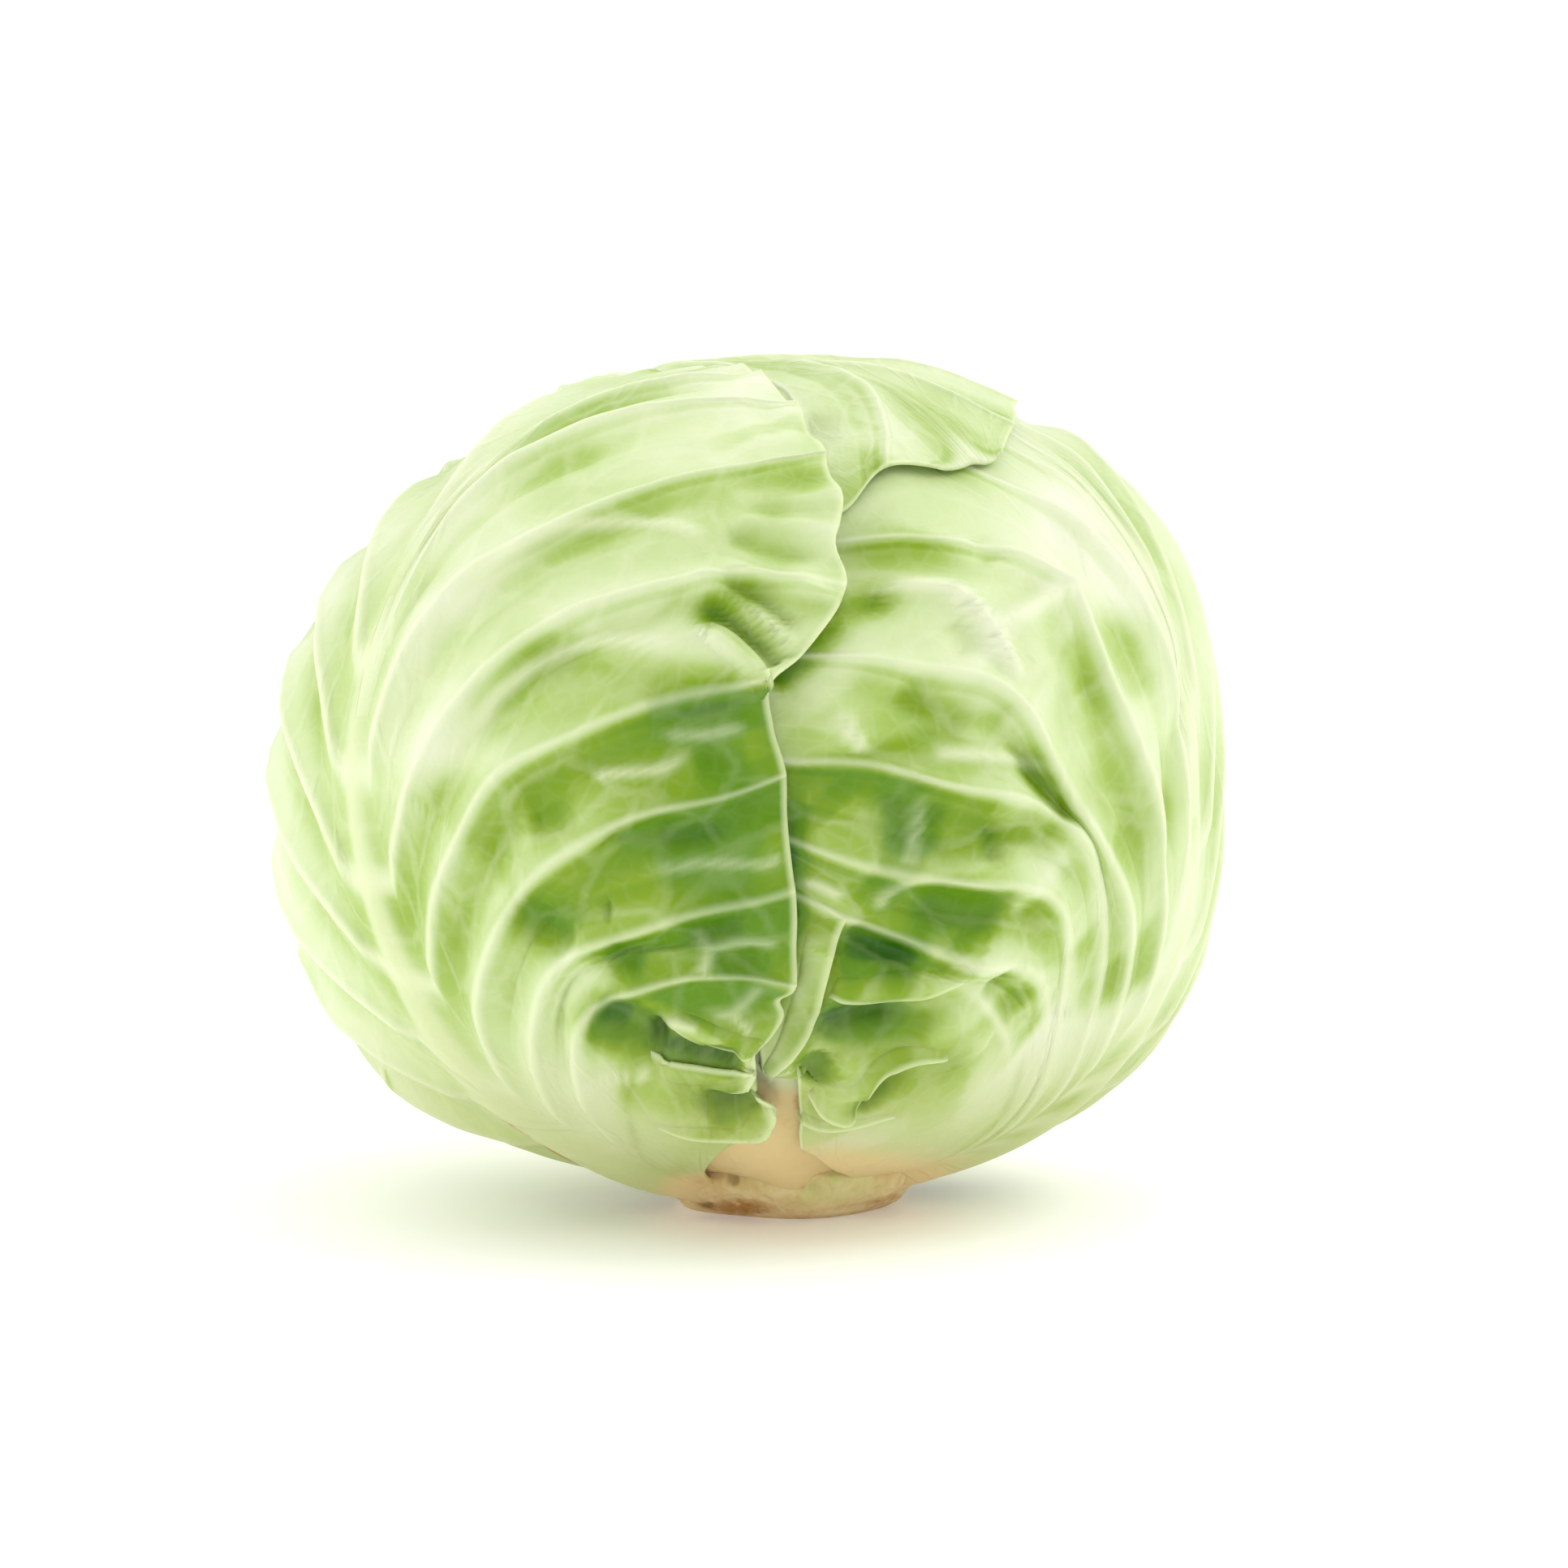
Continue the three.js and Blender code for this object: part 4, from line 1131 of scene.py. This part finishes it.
@dataclass
class Stem:
    """The stem: a short plug cut across its foot, with a torn flange of flesh at its front."""

    height: float = 24.0
    radius: float = 20.4
    collar: float = 7.0
    taper: float = 0.33
    lobes: int = 5
    lobe_depth: float = 0.7
    worn_edge: float = 0.9
    flange: float = 12.5
    sectors: int = 320
    fine_furrow: Point = (0.16, 2.2)
    broad_furrow: Point = (0.45, 7.0)
    # The two dark marks are small sunk holes; their dark brown is painted shade in the holes.
    marks: tuple[Mark, ...] = marks("""
        green 9 7 9 3.4 -1 0.55; green -3.5 8 6 3.2 0.7 0.15; green -1 9.4 1.8 0.9 -0.8 0.9;
        green 3.9 6.2 1.5 2.2 0.9 0.8; green 8.6 9 1.7 1.2 0.8 1; green 12.6 9.2 1.8 1.1 0.7 1;
        green -16.5 8 4 5.5 1.3 0; green 3.9 9.9 2.2 1.4 2.6 0; brown -9 2.2 6.6 2 0.3 1;
        brown 17.5 2.4 4.2 2 0.3 0.5; brown -24.5 3 5.5 3 0.2 0.8; dark -14.6 2.4 1.4 0.8 -0.5 0.8;
        dark -9.6 9.2 0.9 1.6 -1.4 0.4""")

    def radius_at(self, height: Array, angle: Array) -> Array:
        """The stem's radius: r - taper (h - collar) - worn edge + lobes cos(5a + 0.6) + flange."""
        taper = self.taper * np.maximum(0, height - self.collar)
        worn = self.worn_edge * (1 - smooth(height, 0.0, 1.5 * self.worn_edge))
        front = smooth(-np.sin(angle), 0.1, 0.8)
        flange = self.flange * front * smooth(height, -3.0, 9.0)
        flange *= 1 - 0.7 * smooth(height, 11.0, 18.0)
        lobes = self.lobe_depth * np.cos(self.lobes * angle + 0.6)
        return self.radius - taper - worn + lobes + flange

    def build(self) -> bpy.types.Object:
        """Makes the stem, with fine furrows that run up it, and the stains on its front."""
        angle = np.linspace(0, 2 * math.pi, self.sectors, endpoint=False)
        rise = np.concatenate([np.linspace(0, 1.5, 12), np.linspace(1.5, self.height, 90)[1:]])
        height, turn = np.meshgrid(rise, angle, indexing="ij")
        radius = self.radius_at(height, turn)
        around = np.stack([np.cos(turn) * 20, np.sin(turn) * 20, 0.5 * height], axis=-1)
        furrow = sum(depth * Ripple(size, seed).at(around) for (depth, size), seed in
                     ((self.fine_furrow, 71), (self.broad_furrow, 72)))
        radius = radius + furrow * smooth(height, 0.2, 2.0)
        stains = np.zeros((*turn.shape, 3))
        across = radius * np.cos(turn)
        for mark in self.marks:
            share = mark.at(across + 0.3 * furrow, height + 0.6 * furrow) * (np.sin(turn) < 0)
            radius = radius + mark.rise * share
            stain = stains[..., mark.stain.value]
            np.maximum(stain, mark.strength * share, out=stain)
        flank = np.stack([radius * np.cos(turn), radius * np.sin(turn), height], axis=-1)
        shares = np.linspace(0.02, 0.98, 26)
        face = flank[0][None] * shares[:, None, None]
        ripple = 0.22 + 0.12 * Ripple(9, 73).at(face)
        face[..., 2] = np.maximum(ripple * smooth(1 - shares, 0.0, 0.12)[:, None], 0.0)
        lid = flank[-1][None] * np.array([0.8, 0.5, 0.2])[:, None, None]
        lid[..., 2] = self.height
        rings = np.concatenate([face, flank, lid])
        reach = np.hypot(rings[..., 0], rings[..., 1]) / self.radius
        stains = np.pad(stains, ((len(face), len(lid)), (0, 0), (0, 0)))
        return rings_object("stem_butt", rings, np.array([0, 0, 0.2]), np.array([0, 0, self.height]),
                            {"reach": reach[..., None], "stain": stains})


@dataclass
class Heart:
    """The heart: the head's skin under all the leaves, with the edges of its own leaves."""

    leaves: int = 5
    leaf_step: float = 1.6
    twist: float = 1.1
    sectors: int = 180
    bands: int = 90
    lowest: float = 24.8

    def build(self, covering: Sequence[Leaf]) -> bpy.types.Object:
        """Makes the heart: its radius steps down once for each of its own leaves."""
        polar = math.pi * (1 - np.arange(1, self.bands) / self.bands)
        angle = np.linspace(0, 2 * math.pi, self.sectors, endpoint=False)
        polar_grid, turn = np.meshgrid(polar, angle, indexing="ij")
        directions = np.stack([np.sin(polar_grid) * np.cos(turn), np.sin(polar_grid) * np.sin(turn),
                               np.cos(polar_grid)], axis=-1)
        rings = self._place(directions, covering)
        ends = self._place(np.array([[0, 0, -1.0], [0, 0, 1.0]]), covering)
        return rings_object("heart_leaves", rings, ends[0], ends[1], {})

    def _place(self, directions: Array, covering: Sequence[Leaf]) -> Array:
        """Places on the heart in some directions."""
        turn = np.arctan2(directions[..., 1], directions[..., 0]) / (2 * math.pi)
        phase = (turn + self.twist * directions[..., 2]) * self.leaves
        level = np.sqrt(np.maximum(1 - directions[..., 2] ** 2, 0))
        step = smooth(phase - np.floor(phase), 0.0, 0.85) * level
        radius, _ = skin_under(directions, covering)
        places = HEAD.place(directions, radius - self.leaf_step * (1 - step) - 0.6)
        places[..., 2] = np.maximum(places[..., 2], self.lowest)
        return places


# ---- Finishes -----------------------------------------------------------------------------

Colour = Place


def tint(red: int, green: int, blue: int) -> Colour:
    """A linear colour from 8-bit display values, by the curve ((c + 0.055) / 1.055)^2.4."""
    share = np.array([red, green, blue]) / 255
    linear = np.where(share <= 0.04045, share / 12.92, ((share + 0.055) / 1.055) ** 2.4)
    return tuple(float(value) for value in linear)


class Wire:
    """A number that varies over a surface. Arithmetic on wires adds Math nodes."""

    def __init__(self, web: "Web", socket: bpy.types.NodeSocket) -> None:
        """Wraps an output socket."""
        self.web, self.socket = web, socket

    def _math(self, operation: str, *values: "Value") -> "Wire":
        """Adds one Math node."""
        return self.web.add("ShaderNodeMath", {"operation": operation}, dict(enumerate(values)))

    @staticmethod
    def _operator(operation: str, swapped: bool = False) -> Callable[["Wire", "Value"], "Wire"]:
        """An operator that adds one Math node for a wire and another value."""
        def apply(self: "Wire", other: "Value") -> "Wire":
            """The node's result."""
            return self._math(operation, *((other, self) if swapped else (self, other)))
        return apply

    __add__ = __radd__ = _operator("ADD")
    __mul__ = __rmul__ = _operator("MULTIPLY")
    __sub__, __rsub__ = _operator("SUBTRACT"), _operator("SUBTRACT", swapped=True)
    __truediv__ = _operator("DIVIDE")

    def __abs__(self) -> "Wire":
        """The number without its sign."""
        return self._math("ABSOLUTE", self)

    def nearest_whole(self) -> "Wire":
        """The nearest whole number."""
        return self._math("ROUND", self)

    def rising(self, low: float, high: float) -> "Wire":
        """0 below low and 1 above high, smooth between; low above high makes it fall."""
        settings = {"interpolation_type": "SMOOTHSTEP"}
        return self.web.add("ShaderNodeMapRange", settings, {
            "Value": self, "From Min": low, "From Max": high, "To Min": 0.0, "To Max": 1.0})


Value = Union[Wire, float, int, Colour]


class Web:
    """The nodes of a material, or of a world."""

    def __init__(self, owner: Union[bpy.types.Material, bpy.types.World]) -> None:
        """Starts on the nodes of a new material, which has a Principled surface, or a world."""
        owner.use_nodes = True
        self.owner, self.tree = owner, owner.node_tree
        self.surface = self.tree.nodes.get("Principled BSDF")

    def add(self, kind: str, settings: dict[str, Any], inputs: dict[Any, "Value"],
            output: Union[int, str] = 0) -> Wire:
        """Adds a node.

        Args:
            kind: The node's type.
            settings: The node's own settings, which are set first; stops are a ramp's.
            inputs: Values or wires for its sockets, by name or number.
            output: The output that is wanted.

        Returns:
            That output.
        """
        node = self.tree.nodes.new(kind)
        for key, value in settings.items():
            if key == "stops":
                self._set_stops(node.color_ramp.elements, value)
            else:
                setattr(node, key, value)
        for key, value in inputs.items():
            self.set(node.inputs[key], value)
        return Wire(self, node.outputs[output])

    def finish(self, **values: "Value") -> None:
        """Sets sockets of the Principled surface, named in small letters with underscores."""
        sockets = {socket.name.lower().replace(" ", "_"): socket for socket in self.surface.inputs}
        for name, value in values.items():
            self.set(sockets[name], value)

    def set(self, socket: bpy.types.NodeSocket, value: "Value") -> None:
        """Links a wire to a socket, or sets the socket's own value."""
        if isinstance(value, Wire):
            self.tree.links.new(value.socket, socket)
        elif isinstance(value, tuple) and socket.type == "RGBA":
            socket.default_value = (*value, 1.0)
        else:
            socket.default_value = value

    @staticmethod
    def _set_stops(elements: Any, stops: Sequence[tuple[float, Colour]]) -> None:
        """Gives a ramp its stops."""
        while len(elements) < len(stops):
            elements.new(0.5)
        for element, (position, colour) in zip(elements, stops):
            element.position = position
            element.color = (*colour, 1.0)

    def place(self) -> Wire:
        """The place on the object, in metres."""
        return self.add("ShaderNodeTexCoord", {}, {}, "Object")

    def attribute(self, name: str, output: str = "Fac") -> Wire:
        """Reads one of the mesh's attributes."""
        return self.add("ShaderNodeAttribute", {"attribute_name": name}, {}, output)

    def parts(self, vector: Wire) -> tuple[Wire, Wire, Wire]:
        """Splits a vector."""
        split = self.add("ShaderNodeSeparateXYZ", {}, {0: vector})
        return tuple(Wire(self, split.socket.node.outputs[axis]) for axis in range(3))

    def vector(self, x: "Value", y: "Value", z: "Value") -> Wire:
        """Joins three numbers in a vector."""
        return self.add("ShaderNodeCombineXYZ", {}, {0: x, 1: y, 2: z})

    def blend(self, share: "Value", first: "Value", second: "Value") -> Wire:
        """Mixes two colours: the first where the share is 0, the second where it is 1."""
        return self.add("ShaderNodeMix", {"data_type": "RGBA"}, {0: share, 6: first, 7: second}, 2)

    def layered(self, base: "Value", layers: Sequence[tuple["Value", Colour]]) -> "Value":
        """Lays colours over a base, each by its share."""
        for share, over in layers:
            base = self.blend(share, base, over)
        return base

    def noise(self, vector: Wire, scale: float, detail: float = 2.0) -> Wire:
        """Smooth noise between 0 and 1."""
        return self.add("ShaderNodeTexNoise", {}, {
            "Vector": vector, "Scale": scale, "Detail": detail})

    def warp(self, vector: Wire, scale: float, amount: float) -> Wire:
        """Shifts a vector by noise, so that straight patterns wander."""
        shift = self.add("ShaderNodeTexNoise", {}, {"Vector": vector, "Scale": scale}, "Color")
        centred = self.add("ShaderNodeVectorMath", {"operation": "SUBTRACT"},
                           {0: shift, 1: (0.5, 0.5, 0.5)})
        scaled = self.add("ShaderNodeVectorMath", {"operation": "SCALE"},
                          {0: centred, "Scale": amount})
        return self.add("ShaderNodeVectorMath", {"operation": "ADD"}, {0: vector, 1: scaled})

    def web_of_veins(self, vector: Wire, scale: float) -> Wire:
        """Distance to the nearest border between cells, in cells."""
        return self.add("ShaderNodeTexVoronoi", {"feature": "DISTANCE_TO_EDGE"}, {
            "Vector": vector, "Scale": scale})

    def bump(self, height: Wire, distance: float, strength: float) -> Wire:
        """Turns a height into a normal."""
        return self.add("ShaderNodeBump", {}, {
            "Strength": strength, "Distance": distance, "Height": height})


@dataclass(frozen=True)
class LeafFinish:
    """Waxy cabbage leaf: green between pale raised veins, cream towards the stem; painted shade in
    hollows and under veins, a painted highlight on the margin.
    """

    name: str
    palest: Colour = tint(230, 235, 208)
    light: Colour = tint(200, 217, 160)
    mid: Colour = tint(162, 189, 94)
    deep: Colour = tint(128, 159, 28)
    hollow: Colour = tint(92, 136, 4)
    pit_shadow: Colour = tint(44, 98, 6)
    vein: Colour = tint(228, 234, 200)
    stalk: Colour = tint(216, 224, 180)
    foot: Colour = tint(164, 170, 88)
    flesh: Colour = tint(226, 198, 144)
    rim: Colour = tint(222, 232, 184)
    scar: Colour = tint(176, 132, 62)
    roughness: float = 0.4
    shift: float = 0.0
    vein_width: float = 2.1
    vein_taper: float = 0.8
    vein_shadow_below: float = 2.3
    fine_scale: float = 26.0
    patch_scale: float = 5.0
    grain_scale: float = 120.0
    raised: float = 0.0006

    def build(self) -> bpy.types.Material:
        """Makes the material."""
        web = Web(bpy.data.materials.new(self.name))
        step, share, pitch = web.parts(web.attribute("net", "Vector"))
        out = abs(share)
        drawing = web.attribute("drawing", "Vector")
        above = (step - step.nearest_whole()) * pitch
        real = step.rising(0.4, 0.6)
        vein = (abs(above) / (self.vein_width - self.vein_taper * out)).rising(1.0, 0.0) * real
        # Painted shadow: a darker line just below each side vein, where the fold dips.
        painted_vein_shadow = abs(above + self.vein_shadow_below).rising(1.3, 0.2) * real * out.rising(0.25, 0.5)
        green, branch, brown = web.parts(web.attribute("tone", "Vector"))
        stalk, foot, flesh = web.parts(web.attribute("body", "Vector"))
        cells = web.warp(web.vector(share * 7.0, step * 1.55, 0.0), 2.2, 0.32)
        links = web.web_of_veins(cells, 1.0).rising(0.12, 0.01)
        fine = web.web_of_veins(web.warp(drawing, 14.0, 0.02), self.fine_scale).rising(0.16, 0.02)
        patch = web.noise(drawing, self.patch_scale, 3.0) - 0.5
        tone = green + patch * 0.14 + painted_vein_shadow * 0.12 + self.shift
        lit = 1.0 - tone.rising(0.55, 0.95) * 0.75
        # The ramp's greener end is partly the leaf's own green and partly painted shade in hollows.
        blade = web.add("ShaderNodeValToRGB", {"stops": (
            (0.0, self.palest), (0.28, self.light), (0.5, self.mid), (0.72, self.deep),
            (1.0, self.hollow))}, {0: tone})
        ragged = (flesh + patch * flesh * 0.8).rising(0.1, 0.8)
        edge = web.attribute("edge")
        torn = (brown + (web.noise(drawing, 60.0, 4.0) - 0.5) * brown * 1.5).rising(0.2, 0.8)
        colour = web.layered(blade, (
            # Painted shadow in the deepest pits and slits, where the tone runs past 1.
            (tone.rising(1.1, 1.7), self.pit_shadow),
            (fine * lit * 0.06, self.vein),
            (links * (lit * 0.8 + 0.2) * 0.16, self.vein),
            (branch * (lit * 0.4 + 0.2), self.vein),
            (vein * (0.68 - 0.25 * out) * (lit * 0.4 + 0.6), self.vein),
            (stalk * 0.8, self.stalk),
            # Near the foot and low on the head: partly the foot's own yellower colour, partly painted
            # shade.
            (foot * 0.8, self.foot),
            (ragged * 0.9, self.flesh),
            # Painted highlight along the margin, over the margin's own paler colour.
            (edge.rising(1.7, 0.3) * 0.6, self.rim),
            (torn, self.scar)))
        grain = web.noise(drawing, self.grain_scale, 2.0)
        raised = vein * 0.6 + branch * 0.35 + links * 0.18 + fine * 0.05 + grain * 0.03
        web.finish(base_color=colour, normal=web.bump(raised, self.raised, 0.8),
                   roughness=patch * 0.12 + grain * 0.08 + (self.roughness - 0.04),
                   specular_ior_level=0.26, subsurface_weight=0.1,
                   subsurface_radius=(0.6, 1.0, 0.25), subsurface_scale=0.003)
        return web.owner


@dataclass(frozen=True)
class StemFinish:
    """Cream stem with fibres that run up it, stained where it was torn and has dried."""

    name: str = "stem_flesh"
    flesh: Colour = tint(230, 210, 164)
    shade: Colour = tint(214, 186, 130)
    dried: Colour = tint(176, 128, 60)
    dark: Colour = tint(92, 58, 22)
    green: Colour = tint(206, 214, 138)

    def build(self) -> bpy.types.Material:
        """Makes the material."""
        web = Web(bpy.data.materials.new(self.name))
        spot = web.place()
        _, _, height = web.parts(spot)
        fibres = web.noise(web.add("ShaderNodeMapping", {}, {
            "Vector": spot, "Scale": (1.0, 1.0, 0.4)}), 700.0, 4.0)
        blotch = web.noise(spot, 160.0, 4.0)
        brown, green, dark = web.parts(web.attribute("stain", "Vector"))
        foot = (height + blotch * 0.002).rising(0.0021, 0.0008)
        ring = abs(web.attribute("reach") - 0.72).rising(0.07, 0.02) * fibres.rising(0.35, 0.6)
        colour = web.layered(self.flesh, (
            ((blotch * 0.6 + fibres * 0.4).rising(0.38, 0.62), self.shade),
            (green * (fibres * 0.6 + 0.5), self.green),
            (foot * 0.4, self.dried),
            (brown * (fibres * 1.6 + 0.1).rising(0.3, 0.9), self.dried),
            (ring * foot * 0.5, self.dark),
            (brown * fibres.rising(0.55, 0.75) * 0.6, self.dark),
            # Painted shade: the dark marks darken the two sunk holes.
            (dark * 0.85, self.dark)))
        web.finish(base_color=colour, normal=web.bump(fibres * 0.6 + blotch, 0.0008, 0.8),
                   roughness=fibres * 0.25 + 0.45, specular_ior_level=0.35,
                   subsurface_weight=0.1, subsurface_radius=(1.0, 0.8, 0.4),
                   subsurface_scale=0.003)
        return web.owner


@dataclass(frozen=True)
class HeartFinish:
    """Pale inner leaves, hardly green."""

    name: str = "heart_leaf"
    pale: Colour = tint(238, 243, 208)
    green: Colour = tint(205, 220, 150)

    def build(self) -> bpy.types.Material:
        """Makes the material."""
        web = Web(bpy.data.materials.new(self.name))
        spot = web.place()
        patch = web.noise(spot, 30.0, 3.0)
        veins = web.web_of_veins(web.warp(spot, 40.0, 0.01), 90.0).rising(0.1, 0.02)
        colour = web.layered(self.pale, ((patch, self.green), (veins * 0.4, self.pale)))
        web.finish(base_color=colour, normal=web.bump(veins, 0.0004, 0.6),
                   roughness=patch * 0.1 + 0.4)
        return web.owner


# ---- Studio -------------------------------------------------------------------------------

@dataclass
class Studio:
    """A pale floor, soft light and the camera."""

    target: Place = (-0.6, 0.0, 77.4)
    lit: Place = (0.0, 0.0, 70.0)
    distance: float = 1000.0
    elevation: float = 6.0
    lens: float = 124.2
    overhead: float = 0.5
    behind: float = 0.3
    front: float = 0.58
    floor_half: float = 30.0
    floor_glow: float = 0.18
    panels: tuple[tuple[str, Place, float, float], ...] = (
        ("key", (1000.0, -150.0, 1000.0), 0.8, 6.5), ("fill", (-1100.0, -250.0, 450.0), 0.9, 4.5))

    def build(self) -> None:
        """Makes the floor, the lights, the sky and the camera."""
        self._floor()
        self._world()
        for panel in self.panels:
            self._panel(*panel)
        self._camera()
        bpy.context.scene.view_settings.view_transform = "Standard"

    def _floor(self) -> None:
        """A plain pale floor, with the faintest of grain."""
        half = self.floor_half
        mesh = bpy.data.meshes.new("floor")
        mesh.from_pydata([(-half, -half, 0), (half, -half, 0), (half, half, 0), (-half, half, 0)],
                         [], [(0, 1, 2, 3)])
        floor = new_object("floor", mesh)
        web = Web(bpy.data.materials.new("floor_paper"))
        spot = web.place()
        grain = web.noise(spot, 60.0, 3.0)
        web.finish(base_color=web.blend(grain, (0.92, 0.92, 0.9), (0.94, 0.94, 0.925)),
                   roughness=0.7, emission_color=(1.0, 1.0, 0.99),
                   emission_strength=self.floor_glow)
        mesh.materials.append(web.owner)

    def _world(self) -> None:
        """A white surround, brightest overhead and dimmer in front of the head."""
        web = Web(bpy.data.worlds.new("studio"))
        _, depth, height = web.parts(web.add("ShaderNodeTexCoord", {}, {}, "Generated"))
        overhead = height.rising(0.3, 0.9) * self.overhead
        behind = depth.rising(-0.35, 0.45) * self.behind
        level = abs(height).rising(0.2, 0.06) * 1.1
        light = web.add("ShaderNodeMath", {"operation": "MAXIMUM"}, {
            0: overhead + behind + self.front, 1: level})
        background = web.tree.nodes["Background"]
        background.inputs["Color"].default_value = (1.0, 1.0, 0.985, 1.0)
        web.set(background.inputs["Strength"], light)
        bpy.context.scene.world = web.owner

    def _panel(self, name: str, place: Place, size: float, power: float) -> None:
        """A soft square light that faces the head."""
        light = bpy.data.lights.new(name, "AREA")
        light.shape, light.size = "SQUARE", size
        light.energy = power
        self._aimed(new_object(name, light), Vector(place), Vector(self.lit))

    def _camera(self) -> None:
        """The camera, level with the head and a little above it."""
        rise = math.radians(self.elevation)
        data = bpy.data.cameras.new("camera")
        data.lens = self.lens
        data.sensor_width = 36
        away = Vector((0, -math.cos(rise), math.sin(rise))) * self.distance
        target = Vector(self.target)
        bpy.context.scene.camera = self._aimed(new_object("camera", data), target + away, target)

    @staticmethod
    def _aimed(item: bpy.types.Object, place: Vector, target: Vector) -> bpy.types.Object:
        """Puts a light or camera at a place, facing a target."""
        item.location = place * MM
        item.rotation_euler = (target - place).to_track_quat("-Z", "Y").to_euler()
        return item


# ---- Assembly -----------------------------------------------------------------------------

@dataclass
class Cabbage:
    """The whole head."""

    outer_grid: tuple[int, int] = (241, 74)
    inner_grid: tuple[int, int] = (97, 40)
    stem: Stem = field(default_factory=Stem)
    heart: Heart = field(default_factory=Heart)

    def build(self) -> None:
        """Builds the leaves from the outside in, then what they hold."""
        outer = LeafFinish("outer_leaf_skin").build()
        inner = LeafFinish("inner_leaf_skin", shift=-0.15).build()
        leaves: list[Leaf] = []
        for drawing in (LEFT_LEAF, BACK_LEAF, RIGHT_LEAF):
            leaves.append(self._leaf(drawing, self.outer_grid, leaves, outer, "outer_leaf"))
        for drawing in INNER_LEAVES:
            leaves.append(self._leaf(drawing, self.inner_grid, leaves, inner, "inner_leaf"))
        dress(self.heart.build(leaves), HeartFinish().build(), "heart")
        dress(self.stem.build(), StemFinish().build(), "stem")

    @staticmethod
    def _leaf(drawing: Drawing, grid: tuple[int, int], covering: Sequence[Leaf],
              finish: bpy.types.Material, slot: str) -> Leaf:
        """Builds and dresses one leaf under those already built."""
        leaf = Leaf(drawing, *grid)
        dress(leaf.build(tuple(covering)), finish, drawing.name)
        return leaf


def dress(piece: bpy.types.Object, finish: bpy.types.Material, node: str) -> None:
    """Gives a piece its finish, and its place in the frame.

    Args:
        piece: The piece, already in place.
        finish: Its material.
        node: The part of the frame that it stands for.
    """
    piece.data.materials.append(finish)
    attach(piece, BODY)
    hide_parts(node)
    LOG.info("%s: %d faces", piece.name, len(piece.data.polygons))


def main() -> None:
    """Builds the studio and the cabbage."""
    logging.basicConfig(level=logging.INFO, format="%(name)s %(message)s")
    Studio().build()
    Cabbage().build()


if __name__ == "__main__":
    main()
